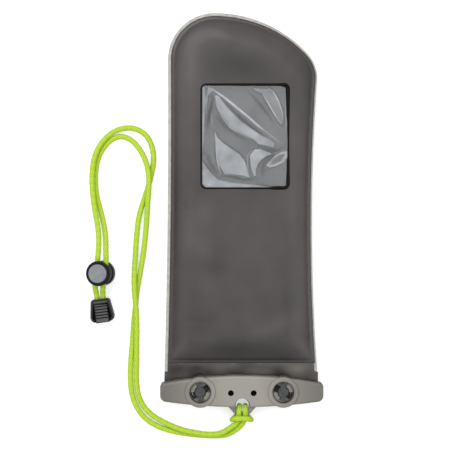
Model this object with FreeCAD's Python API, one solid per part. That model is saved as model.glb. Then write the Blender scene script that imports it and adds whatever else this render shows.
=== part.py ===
"""Waterproof phone case with a cam clamp across its mouth and a neck cord.

Millimetres. The case lies on its clear front, so its dark back faces up.
X is across the case, +Y runs along it to the rounded closed end, +Z is up.
The origin is on the resting surface, under the middle of the case.
"""
import FreeCAD
import Part
import math
import os

V = FreeCAD.Vector
UP = V(0, 0, 1)

# pouch outline
apex_y = 150.9
corner_left_radius = 35.0
top_radius = 95.0
corner_right_radius = 27.0
side_left_x = -55.1
side_left_waist_y = 70.0
side_left_radius = 6500.0
side_right_x = 52.7
side_right_waist_y = -8.0
side_right_radius = 1550.0

# films and the two bulges
film = 0.8
bulge = 6.2
weld_width = 4.5
shoulder = 11.0
shoulder_steps = (0.0, 0.12, 0.3, 0.5, 0.75, 1.0)
mouth_corner = 6.0
mouth_corner_growth = 4.0
pale_rim = 2.2
back_end_y = -111.6
front_end_y = -118.4

# camera window
window_x0, window_x1 = -31.0, 35.5
window_y0, window_y1 = 18.6, 97.6
window_corner = 4.2
bead_width = 1.5
bead_height = 0.5
window_film = 0.6
window_lap = 2.0

# mouth lips
lip_end_y = -137.0
lip_neck_x0, lip_neck_x1 = -54.5, 54.2
lip_x0, lip_x1 = -57.4, 57.2
lip_hole_radius = 7.0
lip_peg_clearance = 0.35
lip_end_gap = 0.3

# clamp bars
bar_half_length = 61.0
bar_top_end_y, bar_top_mid_y = -126.6, -120.75
bar_low_end_y, bar_low_mid_y = -139.7, -144.3
bar_upper_corner = 3.0
bar_lower_corner = 4.5
back_bar_height = 6.3
back_bar_edge = 2.0
front_bar_edge = 1.0
bar_gap = 0.1
seal_width = 1.6
seal_depth = 0.4
seal_inset = 1.75
seal_half_length = 50.0
seal_clearance = 0.15
detail_x = 0.4
peg_spacing = 17.0
peg_y = -133.7
peg_radius = 2.0
peg_height = 2.8
peg_hole_radius = 2.24

# lanyard ring on the front bar
ring_y = -143.1
ring_hole_radius = 4.9
ring_outer_radius = 8.9
ring_z0, ring_z1 = 4.3, 6.9
ring_edge = 0.9
ring_flare = 11.2
ring_relief = 9.8
ring_relief_y = -139.6
notch_radius = 5.8

# bayonet cam and lever; angles are for the left boss, the right one is its mirror image
boss_x = 31.0
boss_y = -133.05
boss_radius = 11.5
boss_rise = 1.0
boss_edge = 1.2
recess_radius = 7.9
cam_floor = 3.5
cam_drop = 1.2
turn = 60.0
wing_closed = 90.0
cam_half_span = 31.0
stop_rise = 1.6
key_radius = 7.35
key_width = 5.0
key_bore = 4.5
head_radius = 4.1
wing_radius = 6.3
wing_width = 3.8
wing_gap = 0.15
wing_top = 5.9
head_top = 6.1
shaft_radius = 4.0
running_fit = 0.08
lever_floor_gap = 0.3
lever_thickness = 2.7
lever_reach = 17.5
lever_hub_radius = 5.6
lever_tip_radius = 4.0
pocket_gap = 0.4
snap_ring_radius = 6.0
snap_ring_thickness = 0.9
snap_ring_gap = 0.1
groove_depth = 0.8

# cord lock, a spool with a spring-loaded plunger
lock_x, lock_y = -104.2, -44.3
lock_tilt = 10.5
lock_twist = -6.6
lock_radius = 9.4
lock_waist_radius = 8.2
lock_height = 16.0
lock_flange = 2.6
lock_floor = 1.2
plunger_radius = 6.87
plunger_proud = 2.4
plunger_travel = 2.4
plunger_web = 1.35
cord_level = 8.85
cord_spacing = 6.6
cord_window_gap = 0.3
spring_radius = 4.6
spring_wire = 0.35
spring_turns = 3
spring_sides = 12

# cord end clip
end_x, end_y = -106.35, -63.5
end_turn = 7.5
end_top_width = 13.9
end_bottom_width = 19.2
end_length = 17.6
end_corner = 2.6
end_tip_corner = 4.2
end_bridge = 3.6
end_height = 9.2
end_arm = 1.9
end_floor = 1.4
end_mouth_gap = 0.9
end_edge = 0.5
cover_width = 10.0
cover_length = 14.0
cover_height = 10.2
cover_wall = 0.8
cover_gap = 0.3
rib_count = 5
rib_depth = 0.9
tip_block = 3.2
end_cord_spacing = 4.2
end_cord_z = 4.8
end_cord_depth = 5.0
knot_length = 6.0
knot_gap = 0.12

# neck cord
cord_diameter = 4.0
cord_share = 0.45

# levels worked out from the sizes above
rim_z = film + bulge
lip_top = rim_z + film
bar_base = lip_top + bar_gap
bar_top = bar_base + back_bar_height
boss_top = bar_top + boss_rise
cam_level = bar_base + cam_floor
front_bar_top = rim_z - film
peg_x = (detail_x - peg_spacing / 2, detail_x + peg_spacing / 2)

# Points of the neck cord: from the cord end up the left strand, round the big
# loop, down to the ring, through its hitch and back along the other strand.
cord_points = [
    (-107.9, -68.7, 4.8), (-109.0, -60.2, 4.9), (-110.2, -54.3, 9.5), (-109.05, -43.9, 9.95), (-107.9, -33.6, 10.0),
    (-107.3, -26.1, 8.8), (-107.2, -16.4, 7.2), (-108.3, -7.4, 6.2), (-110.2, 2.4, 6.0), (-112.1, 15.9, 5.9),
    (-112.6, 28.6, 5.9), (-111.4, 41.4, 5.8), (-107.0, 51.9, 5.2), (-99.5, 60.5, 3.9), (-90.5, 64.9, 2.6),
    (-80.8, 65.2, 2.1), (-72.1, 60.5, 2.1), (-67.4, 51.9, 2.1), (-65.9, 41.4, 2.1), (-67.9, 30.1, 2.1),
    (-70.6, 19.6, 2.1), (-74.0, 9.9, 2.1), (-77.5, -1.4, 2.1), (-79.1, -14.9, 2.1), (-79.9, -28.4, 2.4),
    (-80.6, -40.4, 3.6), (-80.9, -49.4, 5.6), (-80.5, -58.4, 6.3), (-79.3, -70.4, 6.3), (-78.8, -82.4, 5.9),
    (-79.0, -95.9, 4.4), (-79.1, -110.9, 2.6), (-79.5, -124.4, 2.1), (-78.4, -135.6, 2.1), (-74.0, -145.0, 2.1),
    (-67.3, -151.7, 2.3), (-57.5, -157.2, 3.6), (-46.3, -161.6, 5.9), (-35.0, -164.2, 6.2), (-24.5, -165.6, 6.2),
    (-15.5, -164.9, 6.3), (-8.8, -160.4, 7.4), (-2.4, -155.9, 9.0), (-1.8, -143.9, 9.3), (-1.8, -143.9, 2.1),
    (-2.4, -150.6, 2.1), (-6.9, -154.6, 3.2), (-7.2, -153.8, 9.6), (-4.0, -152.6, 13.2), (4.6, -152.7, 13.2),
    (7.2, -153.8, 9.6), (6.9, -154.6, 3.2), (3.2, -150.6, 2.1), (2.6, -143.9, 2.1), (2.6, -143.9, 9.3),
    (2.7, -156.0, 8.8), (-8.3, -165.5, 3.4), (-17.0, -167.0, 2.2), (-26.8, -166.8, 2.1), (-38.0, -165.8, 2.1),
    (-50.0, -164.0, 2.1), (-62.0, -160.6, 2.1), (-72.5, -154.4, 2.1), (-79.3, -145.4, 2.1), (-83.1, -134.9, 2.1),
    (-84.0, -122.9, 2.1), (-83.5, -109.4, 2.1), (-82.2, -95.9, 2.1), (-81.4, -82.4, 2.1), (-80.0, -70.4, 2.1),
    (-79.0, -58.4, 2.1), (-77.2, -48.6, 2.1), (-75.4, -38.1, 2.1), (-73.6, -26.9, 2.1), (-72.2, -13.4, 2.1),
    (-71.3, -1.4, 3.0), (-70.7, 8.4, 5.4), (-69.8, 18.1, 6.3), (-69.6, 27.1, 6.3), (-70.6, 35.4, 5.4),
    (-73.6, 43.6, 3.4), (-78.1, 51.1, 2.3), (-84.1, 57.0, 2.1), (-91.6, 59.2, 2.1), (-99.1, 55.9, 2.1),
    (-105.4, 48.5, 2.1), (-109.3, 39.1, 2.1), (-110.3, 27.1, 2.1), (-109.6, 15.1, 2.1), (-106.3, 3.1, 2.1),
    (-103.5, -8.1, 2.9), (-102.1, -17.9, 5.2), (-101.9, -26.9, 8.3), (-101.4, -34.3, 11.3), (-102.6, -44.7, 11.2),
    (-103.8, -55.0, 10.8), (-104.6, -59.6, 4.9), (-103.5, -68.2, 4.8),
]


def toward(centre, other, distance):
    """Return the point at a distance from centre on the way to other."""
    way = other.sub(centre)
    way.normalize()
    return centre.add(way.multiply(distance))


def arc(centre, start, end):
    """Return the shorter arc about centre from start to end."""
    middle = start.sub(centre).add(end.sub(centre))
    middle.normalize()
    middle.multiply(start.sub(centre).Length)
    return Part.Arc(start, centre.add(middle), end).toShape()


def line(start, end):
    """Return a straight edge."""
    return Part.LineSegment(start, end).toShape()


def polygon(points):
    """Return a closed wire of straight edges through 2-D points."""
    corners = [V(x, y, 0) for x, y in points]
    return Part.makePolygon(corners + corners[:1])


def prism(wire, z0, z1):
    """Return the solid between two levels over a flat wire drawn at z = 0."""
    face = Part.Face(wire)
    face.translate(V(0, 0, z0))
    return face.extrude(V(0, 0, z1 - z0))


def disc(x, y, radius, z0, z1):
    """Return an upright cylinder."""
    return Part.makeCylinder(radius, z1 - z0, V(x, y, z0), UP)


def block(x0, x1, y0, y1, z0, z1):
    """Return a box between opposite corners."""
    return Part.makeBox(x1 - x0, y1 - y0, z1 - z0, V(x0, y0, z0))


def rounded_box(x0, x1, y0, y1, radius, z0, z1):
    """Return a box whose four upright edges are rounded."""
    solid = block(x0, x1, y0, y1, z0, z1)
    return solid.makeFillet(radius, upright_edges(solid))


def upright_edges(solid):
    """Return the straight edges that run along Z."""
    found = []
    for edge in solid.Edges:
        low, high = edge.BoundBox, edge.Length
        if abs(low.ZLength - high) < 1e-6 and low.XLength < 1e-6 and low.YLength < 1e-6:
            found.append(edge)
    return found


def edges_at(solid, z):
    """Return the edges that lie wholly at one level."""
    return [e for e in solid.Edges
            if abs(e.BoundBox.ZMin - z) < 1e-6 and abs(e.BoundBox.ZMax - z) < 1e-6]


def mirrored(shape):
    """Return the mirror image of a left-hand shape."""
    return shape.mirror(V(0, 0, 0), V(1, 0, 0))


# Centres of the tangent arcs that make the pouch's outline
left_centre = V(side_left_x - side_left_radius, side_left_waist_y, 0)
right_centre = V(side_right_x + side_right_radius, side_right_waist_y, 0)
corner_left_y = apex_y - corner_left_radius
corner_left_centre = V(
    left_centre.x + math.sqrt((side_left_radius + corner_left_radius) ** 2
                              - (corner_left_y - side_left_waist_y) ** 2),
    corner_left_y, 0)
top_centre = V(corner_left_centre.x, apex_y - top_radius, 0)


def circles_meet(first, first_radius, second, second_radius):
    """Return the upper point where two circles cross."""
    apart = second.sub(first)
    gap = apart.Length
    along = (first_radius ** 2 - second_radius ** 2 + gap ** 2) / (2 * gap)
    across = math.sqrt(first_radius ** 2 - along ** 2)
    apart.normalize()
    side = V(-apart.y, apart.x, 0)
    return first.add(apart * along).add(side * across)


corner_right_centre = circles_meet(
    top_centre, top_radius - corner_right_radius,
    right_centre, side_right_radius + corner_right_radius)


def outline(inset, end_y, corner):
    """Return the pouch's outline moved in by inset and closed across end_y.

    The two long sides bow inwards, so moving them in makes their arcs larger.
    """
    left_r = side_left_radius + inset
    right_r = side_right_radius + inset
    left_top = toward(left_centre, corner_left_centre, left_r)
    apex = V(corner_left_centre.x, apex_y - inset, 0)
    right_top = toward(top_centre, corner_right_centre, top_radius - inset)
    right_side = toward(corner_right_centre, right_centre, corner_right_radius - inset)
    rise = end_y + corner
    left_foot = V(left_centre.x + math.sqrt((left_r + corner) ** 2 - (rise - side_left_waist_y) ** 2),
                  rise, 0)
    right_foot = V(right_centre.x - math.sqrt((right_r + corner) ** 2 - (rise - side_right_waist_y) ** 2),
                   rise, 0)
    left_low = toward(left_centre, left_foot, left_r)
    right_low = toward(right_centre, right_foot, right_r)
    end_left = V(left_foot.x, end_y, 0)
    end_right = V(right_foot.x, end_y, 0)
    edges = [arc(left_centre, left_low, left_top),
             arc(corner_left_centre, left_top, apex),
             arc(top_centre, apex, right_top),
             arc(corner_right_centre, right_top, right_side),
             arc(right_centre, right_side, right_low)]
    if corner > 0:
        edges.append(arc(right_foot, right_low, end_right))
        edges.append(line(end_right, end_left))
        edges.append(arc(left_foot, end_left, left_low))
    else:
        edges.append(line(end_right, end_left))
    return Part.Wire(edges)


def bulge_solid(foot_inset, foot_z, rise):
    """Return the pillow that climbs on a parabola from the weld to its flat middle."""
    sections = []
    for step in shoulder_steps:
        inset = foot_inset + shoulder * step
        wire = outline(inset, back_end_y + inset - weld_width, mouth_corner + mouth_corner_growth * step)
        wire.translate(V(0, 0, foot_z + rise * (1 - (1 - step) ** 2)))
        sections.append(wire)
    return Part.makeLoft(sections, True, False)


def film_shell(side, rim_inset, end_y):
    """Return one wall of the pouch: a flat weld margin and a bulge, side +1 up or -1 down."""
    margin = prism(outline(rim_inset, end_y, 0), rim_z, rim_z + side * film)
    outer = bulge_solid(weld_width, rim_z + side * film, side * bulge)
    inner = bulge_solid(weld_width + film, rim_z, side * bulge)
    under = prism(outline(weld_width + film, back_end_y + film, mouth_corner), rim_z, rim_z - side * film)
    return margin.fuse(outer).cut(inner).cut(under)


def make_back_panel():
    """Dark back film with its camera cut-out and the weld bead round it."""
    top = rim_z + film + bulge
    shell = film_shell(1, pale_rim, back_end_y)
    rim = rounded_box(window_x0, window_x1, window_y0, window_y1, window_corner, top - film / 2, top + bead_height)
    opening = rounded_box(window_x0 + bead_width, window_x1 - bead_width,
                          window_y0 + bead_width, window_y1 - bead_width,
                          window_corner - bead_width, top - 2 * film, top + 2 * bead_height)
    return shell.fuse(rim).cut(opening).removeSplitter()


def make_camera_window():
    """Clear film welded under the edge of the cut-out."""
    reach = window_lap - bead_width
    under = rim_z + bulge
    return rounded_box(window_x0 - reach, window_x1 + reach, window_y0 - reach, window_y1 + reach,
                       window_corner, under - window_film, under)


def make_front_panel():
    """Clear front film, wider than the back one by the pale rim."""
    return film_shell(-1, 0, front_end_y).removeSplitter()


def lever_and_peg_holes(z0, z1):
    """Return the holes that let levers and pegs pass through a lip."""
    tools = [disc(side * boss_x, boss_y, lip_hole_radius, z0, z1) for side in (-1, 1)]
    tools += [disc(x, peg_y, peg_radius + lip_peg_clearance, z0, z1) for x in peg_x]
    return tools


def seal_arc(width, depth_top, depth_low, half_length):
    """Return a low rib that follows the bar's upper edge."""
    sagitta = bar_top_mid_y - bar_top_end_y
    radius = (bar_half_length ** 2 + sagitta ** 2) / (2 * sagitta)
    centre_y = bar_top_mid_y - radius
    middle = radius - seal_inset - seal_width / 2
    ring = disc(0, centre_y, middle + width / 2, depth_low, depth_top)
    ring = ring.cut(disc(0, centre_y, middle - width / 2, depth_low, depth_top))
    return ring.common(block(-half_length, half_length, bar_low_mid_y, bar_top_mid_y, depth_low, depth_top))


def make_mouth_lip_back():
    """Stiff strip on the back film's mouth, with the groove for the seal rib."""
    shape = block(lip_neck_x0, lip_neck_x1, front_end_y, back_end_y, rim_z, lip_top)
    shape = shape.fuse(block(lip_x0, lip_x1, lip_end_y, front_end_y, rim_z, lip_top))
    groove = seal_arc(seal_width + 2 * seal_clearance, lip_top, bar_base - seal_depth - bar_gap,
                      seal_half_length + seal_clearance)
    return shape.cut(lever_and_peg_holes(rim_z, lip_top) + [groove]).removeSplitter()


def make_mouth_lip_front():
    """Stiff strip on the front film's mouth."""
    shape = block(lip_x0, lip_x1, lip_end_y, front_end_y, front_bar_top, rim_z)
    return shape.cut(lever_and_peg_holes(front_bar_top, rim_z))


def bar_blank(z0, z1):
    """Return the bar's outline, bowed along both long edges, with rounded corners."""
    half = bar_half_length
    upper = Part.Arc(V(-half, bar_top_end_y, 0), V(0, bar_top_mid_y, 0), V(half, bar_top_end_y, 0)).toShape()
    lower = Part.Arc(V(half, bar_low_end_y, 0), V(0, bar_low_mid_y, 0), V(-half, bar_low_end_y, 0)).toShape()
    wire = Part.Wire([upper, line(V(half, bar_top_end_y, 0), V(half, bar_low_end_y, 0)), lower,
                      line(V(-half, bar_low_end_y, 0), V(-half, bar_top_end_y, 0))])
    solid = prism(wire, z0, z1)
    high = [e for e in upright_edges(solid) if e.BoundBox.YMin > boss_y]
    solid = solid.makeFillet(bar_upper_corner, high)
    low = [e for e in upright_edges(solid) if e.BoundBox.YMax < boss_y and abs(e.BoundBox.XMax) > half - 1e-3]
    return solid.makeFillet(bar_lower_corner, low)


def tapered_plan(x, y, angle, reach, hub, tip):
    """Return the outline of a lever: two circles and their outer tangents."""
    lean = math.asin((hub - tip) / reach)
    heading = math.radians(angle)
    far = V(x + reach * math.cos(heading), y + reach * math.sin(heading), 0)
    near = V(x, y, 0)
    sides = []
    for sign in (1, -1):
        out = heading + sign * (math.pi / 2 - lean)
        way = V(math.cos(out), math.sin(out), 0)
        sides.append((near.add(way * hub), far.add(way * tip)))
    back = near.sub(V(math.cos(heading), math.sin(heading), 0) * hub)
    front = far.add(V(math.cos(heading), math.sin(heading), 0) * tip)
    return Part.Wire([Part.Arc(sides[0][0], back, sides[1][0]).toShape(),
                      line(sides[1][0], sides[1][1]),
                      Part.Arc(sides[1][1], front, sides[0][1]).toShape(),
                      line(sides[0][1], sides[0][0])])


def lever_pocket():
    """Return the space that the left lever sweeps from the bar's underside."""
    top = lever_floor_gap + lever_thickness + 0.2
    hub = lever_hub_radius + pocket_gap
    tip = lever_tip_radius + pocket_gap
    space = disc(-boss_x, boss_y, hub, 0, top)
    steps = 4
    for step in range(steps + 1):
        angle = -turn * step / steps
        space = space.fuse(prism(tapered_plan(-boss_x, boss_y, angle, lever_reach, hub, tip), 0, top))
    reach = lever_reach + tip
    fan = disc(-boss_x, boss_y, reach, 0, top)
    start, end = math.radians(0), math.radians(-turn)
    far = 3 * reach
    wedge = polygon([(-boss_x, boss_y), (-boss_x + far * math.cos(start), boss_y),
                     (-boss_x + far * math.cos(end), boss_y + far * math.sin(end))])
    return space.fuse(fan.common(prism(wedge, 0, top))).removeSplitter()


def key_slot(radius, width, angle, z0, z1):
    """Return a straight slot across the left boss's axis at an angle."""
    slot = block(-radius, radius, -width / 2, width / 2, z0, z1)
    slot = slot.common(disc(0, 0, radius, z0, z1))
    slot.rotate(V(0, 0, 0), UP, angle)
    slot.translate(V(-boss_x, boss_y, 0))
    return slot


def ring_tab():
    """Return the eye for the neck cord, with its flares into the bar."""
    root_y = lip_end_y - lip_end_gap
    eye = disc(detail_x, ring_y, ring_outer_radius, ring_z0, ring_z1)
    eye = eye.makeFillet(ring_edge, edges_at(eye, ring_z0) + edges_at(eye, ring_z1))
    eye = eye.cut(block(-boss_x, boss_x, root_y, bar_top_mid_y, ring_z0, ring_z1))
    low_y = bar_low_mid_y + 0.3
    side = ring_flare
    waist = ring_outer_radius * 0.8
    waist_y = ring_y - math.sqrt(ring_outer_radius ** 2 - waist ** 2)
    left = Part.Arc(V(detail_x - side, low_y, 0), V(detail_x - side * 0.83, low_y - 1.9, 0),
                    V(detail_x - waist, waist_y, 0)).toShape()
    right = Part.Arc(V(detail_x + waist, waist_y, 0), V(detail_x + side * 0.83, low_y - 1.9, 0),
                     V(detail_x + side, low_y, 0)).toShape()
    wire = Part.Wire([left, line(V(detail_x - waist, waist_y, 0), V(detail_x + waist, waist_y, 0)), right,
                      line(V(detail_x + side, low_y, 0), V(detail_x + side, root_y, 0)),
                      line(V(detail_x + side, root_y, 0), V(detail_x - side, root_y, 0)),
                      line(V(detail_x - side, root_y, 0), V(detail_x - side, low_y, 0))])
    return eye.fuse(prism(wire, ring_z0, ring_z1))


def make_clamp_front_bar():
    """Lower bar: lever pockets, shaft bores with their assembly keyways, pegs and the cord's ring."""
    bar = bar_blank(0, front_bar_top)
    bar = bar.makeChamfer(front_bar_edge, edges_at(bar, 0))
    relief = block(detail_x - ring_relief, detail_x + ring_relief, bar_low_mid_y - 10, ring_relief_y, 0, ring_z0)
    bar = bar.cut(relief).fuse(ring_tab())
    tools = [disc(detail_x, ring_y, ring_hole_radius, 0, ring_z1)]
    left = [lever_pocket(),
            disc(-boss_x, boss_y, shaft_radius + running_fit, 0, front_bar_top),
            key_slot(wing_radius + 0.3, wing_width + 0.6, wing_closed - turn, 0, front_bar_top)]
    tools += left + [mirrored(tool) for tool in left]
    bar = bar.cut(tools)
    pegs = [disc(x, peg_y, peg_radius, front_bar_top - 1, front_bar_top + peg_height) for x in peg_x]
    return bar.fuse(pegs).removeSplitter()


def helicoid(start, end, lift):
    """Return the space above a screw surface about Z, which drops cam_drop over one turn of the lever."""
    def rail(radius):
        points = []
        steps = 8
        for step in range(steps + 1):
            angle = start + (end - start) * step / steps
            level = lift + cam_drop * (angle - wing_closed) / turn
            way = math.radians(angle)
            points.append(V(radius * math.cos(way), radius * math.sin(way), level))
        curve = Part.BSplineCurve()
        curve.interpolate(points)
        return curve.toShape()
    face = Part.makeRuledSurface(rail(1.0), rail(recess_radius + 1.0))
    return face.extrude(V(0, 0, back_bar_height + boss_rise))


def cam_space(lift, radius, z_top):
    """Return the space above both cam ramps of the left boss, about the boss's own axis."""
    one = helicoid(wing_closed - turn - cam_half_span, wing_closed + cam_half_span, lift)
    one = one.common(disc(0, 0, radius, lift - 3 * cam_drop, z_top))
    other = one.copy()
    other.rotate(V(0, 0, 0), UP, 180)
    return [one, other]


def make_clamp_back_bar():
    """Upper bar: two bosses with bayonet cams, peg holes, the cord's arch and the seal rib."""
    bar = bar_blank(bar_base, bar_top)
    bar = bar.makeFillet(back_bar_edge, edges_at(bar, bar_top))
    boss = disc(-boss_x, boss_y, boss_radius, bar_base, boss_top)
    boss = boss.makeFillet(boss_edge, edges_at(boss, boss_top))
    bar = bar.fuse([boss, mirrored(boss)])
    left = [disc(-boss_x, boss_y, recess_radius, cam_level + stop_rise, boss_top),
            disc(-boss_x, boss_y, key_bore, bar_base, boss_top),
            key_slot(key_radius, key_width, wing_closed - turn, bar_base, boss_top)]
    for space in cam_space(cam_level, recess_radius, boss_top):
        space.translate(V(-boss_x, boss_y, 0))
        left.append(space)
    tools = left + [mirrored(tool) for tool in left]
    tools += [disc(x, peg_y, peg_hole_radius, bar_base, bar_top) for x in peg_x]
    tools.append(disc(detail_x, ring_y, notch_radius, bar_base, bar_top))
    tools.append(block(detail_x - notch_radius, detail_x + notch_radius, bar_low_mid_y - 5, ring_y,
                       bar_base, bar_top))
    rib = seal_arc(seal_width, bar_base, bar_base - seal_depth, seal_half_length)
    return bar.cut(tools).fuse(rib).removeSplitter()


def make_lever():
    """Left lever in one moulding: thumb blade, shaft, and the winged head that rides on the cams."""
    blade_top = lever_floor_gap + lever_thickness
    blade = prism(tapered_plan(0, 0, 0, lever_reach, lever_hub_radius, lever_tip_radius),
                  lever_floor_gap, blade_top)
    blade = blade.makeChamfer(0.5, edges_at(blade, lever_floor_gap))
    shaft = disc(0, 0, shaft_radius, blade_top - 0.5, cam_level)
    neck = shaft_radius - groove_depth
    groove = disc(0, 0, shaft_radius + 1, front_bar_top + snap_ring_gap / 2,
                  front_bar_top + snap_ring_thickness + 1.5 * snap_ring_gap)
    groove = groove.cut(disc(0, 0, neck, blade_top, cam_level))
    head = disc(0, 0, head_radius, cam_level - cam_drop, bar_base + head_top)
    head = head.makeChamfer(0.5, edges_at(head, bar_base + head_top))
    wings = block(-wing_width / 2, wing_width / 2, -wing_radius, wing_radius, cam_level - cam_drop,
                  bar_base + wing_top)
    wings = wings.common(disc(0, 0, wing_radius, cam_level - cam_drop, bar_base + wing_top))
    clear = cam_space(cam_level + wing_gap, recess_radius, boss_top)
    wings = wings.common(clear[0].fuse(clear[1]))
    gate = disc(0, 0, 0.8, bar_base + head_top - 0.3, bar_base + head_top)
    grips = [block(lever_reach - 3 + 2.2 * i, lever_reach - 2.2 + 2.2 * i, -3, 3,
                   lever_floor_gap, lever_floor_gap + 0.4) for i in range(3)]
    lever = blade.fuse([shaft, head, wings]).cut([groove, gate] + grips).removeSplitter()
    lever.translate(V(-boss_x, boss_y, 0))
    return lever


def make_snap_ring():
    """Left snap ring: an open washer in the shaft's groove, above the front bar."""
    z0 = front_bar_top + snap_ring_gap
    neck = shaft_radius - groove_depth
    ring = disc(0, 0, snap_ring_radius, z0, z0 + snap_ring_thickness)
    ring = ring.cut(disc(0, 0, neck + 0.1, z0, z0 + snap_ring_thickness))
    mouth = block(-neck * 0.75, neck * 0.75, 0, snap_ring_radius + 1, z0, z0 + snap_ring_thickness)
    ring = ring.cut(mouth)
    ring.translate(V(-boss_x, boss_y, 0))
    return ring


def in_lock_place(shape):
    """Move a shape from the lock's own frame to where it leans on the surface."""
    shape.rotate(V(0, 0, 0), UP, lock_twist)
    shape.rotate(V(0, 0, 0), V(0, 1, 0), -lock_tilt)
    shape.translate(V(lock_x, lock_y, lock_radius * math.sin(math.radians(lock_tilt)) + 0.02))
    return shape


def cord_window(z0, z1):
    """Return the cross slot that passes both strands through the lock."""
    half = cord_spacing / 2 + cord_diameter / 2 + cord_window_gap
    return block(-half, half, -lock_radius, lock_radius, z0, z1)


def make_lock_barrel():
    """Spool-shaped body with a bore for the plunger and a window for the cord."""
    waist = disc(0, 0, lock_waist_radius, 0, lock_height)
    low = disc(0, 0, lock_radius, 0, lock_flange)
    high = disc(0, 0, lock_radius, lock_height - lock_flange, lock_height)
    low = low.makeFillet(0.8, low.Edges)
    high = high.makeFillet(0.8, high.Edges)
    body = waist.fuse([low, high]).cut(disc(0, 0, plunger_radius + running_fit, lock_floor, lock_height))
    half = cord_diameter / 2 + cord_window_gap
    body = body.cut(cord_window(cord_level - half, cord_level + half))
    return in_lock_place(body.removeSplitter())


def make_lock_plunger():
    """Push button whose slot pinches the cord against the barrel's window."""
    half = cord_diameter / 2 + cord_window_gap
    foot = cord_level - half - plunger_web
    top = lock_height + plunger_proud
    body = disc(0, 0, plunger_radius, foot, top)
    body = body.makeFillet(0.7, edges_at(body, top))
    body = body.cut(cord_window(cord_level - half, cord_level + half + plunger_travel))
    return in_lock_place(body)


def make_lock_spring():
    """Coil spring between the barrel's floor and the plunger's foot."""
    foot = cord_level - cord_diameter / 2 - cord_window_gap - plunger_web
    low = lock_floor + spring_wire + 0.05
    high = foot - spring_wire - 0.05
    reach = spring_radius / math.cos(math.pi / spring_sides)
    steps = spring_turns * spring_sides
    coil = []
    for step in range(steps + 1):
        angle = 2 * math.pi * step / spring_sides
        coil.append((reach * math.cos(angle), reach * math.sin(angle), low + (high - low) * step / steps))
    spring = tube(smooth_path(coil)[0], coil, spring_wire)
    return in_lock_place(spring)


def in_end_place(shape):
    """Move a shape from the cord end's own frame to its place."""
    shape.rotate(V(0, 0, 0), UP, end_turn)
    shape.translate(V(end_x, end_y, 0))
    return shape


def end_block(inset, z0, z1):
    """Return the clip's rounded trapezoid, moved in by inset, between two levels."""
    slope = (end_bottom_width - end_top_width) / 2 / end_length
    top = end_top_width / 2 - inset
    low = top + slope * end_length
    corners = [(-top, -inset), (top, -inset), (low, -end_length + inset), (-low, -end_length + inset)]
    solid = prism(polygon(corners), z0, z1)
    near = [e for e in upright_edges(solid) if e.BoundBox.YMin > -end_length / 2]
    solid = solid.makeFillet(end_corner - inset, near)
    far = [e for e in upright_edges(solid) if e.BoundBox.YMax < -end_length / 2]
    return solid.makeFillet(end_tip_corner - inset, far)


def make_cord_end_base():
    """Frame of the cord end: bridge with two cord holes, floor, and two side arms that curl in at the tip."""
    body = end_block(0, 0, end_height)
    body = body.makeChamfer(end_edge, edges_at(body, end_height))
    inner = end_block(end_arm, end_floor, end_height)
    inner = inner.cut(block(-end_bottom_width, end_bottom_width, -end_bridge, 1, 0, end_height))
    mouth = cover_width / 2 + end_mouth_gap
    way_out = block(-mouth, mouth, -end_length - 1, -end_length / 2, end_floor, end_height)
    holes = [Part.makeCylinder(cord_diameter / 2 + 0.2, end_bridge + 2,
                               V(side * end_cord_spacing / 2, 1, end_cord_z), V(0, -1, 0)) for side in (-1, 1)]
    return in_end_place(body.cut([inner, way_out] + holes).removeSplitter())


def make_cord_end_cover():
    """Centre block that snaps into the frame and holds the knot: a ribbed thumb face over a plain tip."""
    half = cover_width / 2
    y0 = -end_bridge - cover_gap
    y1 = y0 - cover_length
    body = block(-half, half, y1, y0, end_floor, cover_height)
    body = body.makeChamfer(0.8, edges_at(body, cover_height))
    pitch = (cover_length - tip_block) / rib_count
    grooves = [block(-half, half, y0 - pitch * (i + 1) - pitch * 0.05, y0 - pitch * (i + 1) + pitch * 0.4,
                     cover_height - rib_depth, cover_height) for i in range(rib_count)]
    chamber = block(-half + cover_wall, half - cover_wall, y1 + cover_wall, y0,
                    end_floor, cover_height - cover_wall - rib_depth)
    return in_end_place(body.cut(grooves + [chamber]))


def make_cord_knot():
    """The knot that holds both cord ends inside the clip."""
    half = cover_width / 2 - cover_wall - 0.1
    y0 = -end_cord_depth - knot_gap
    low = end_cord_z - cord_diameter / 2 - 1.2
    high = end_cord_z + cord_diameter / 2 + 1.0
    body = block(-half, half, y0 - knot_length, y0, low, high)
    return in_end_place(body.makeFillet(0.9, [e for e in body.Edges if e.BoundBox.YMax < y0 - 0.5]))


def smooth_path(places):
    """Return a line of straight runs joined by tangent arcs, and the arcs' radii."""
    points = [V(*p) for p in places]
    edges = []
    radii = []
    at = points[0]
    for before, corner, after in zip(points, points[1:], points[2:]):
        back = before.sub(corner)
        ahead = after.sub(corner)
        shorter = min(back.Length, ahead.Length)
        back.normalize()
        ahead.normalize()
        half_turn = (math.pi - back.getAngle(ahead)) / 2
        tangent = cord_share * shorter
        radius = tangent / math.tan(half_turn)
        start = corner.add(back * tangent)
        end = corner.add(ahead * tangent)
        inward = back.add(ahead)
        inward.normalize()
        middle = corner.add(inward * (radius / math.cos(half_turn) - radius))
        edges.append(line(at, start))
        edges.append(Part.Arc(start, middle, end).toShape())
        radii.append(radius)
        at = end
    edges.append(line(at, points[-1]))
    return Part.Wire(edges), radii


def tube(path, places, radius):
    """Sweep a round section along a path that starts at the first of its places."""
    start = V(*places[0])
    section = Part.Face(Part.Wire([Part.makeCircle(radius, start, V(*places[1]).sub(start))]))
    return path.makePipe(section)


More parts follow.
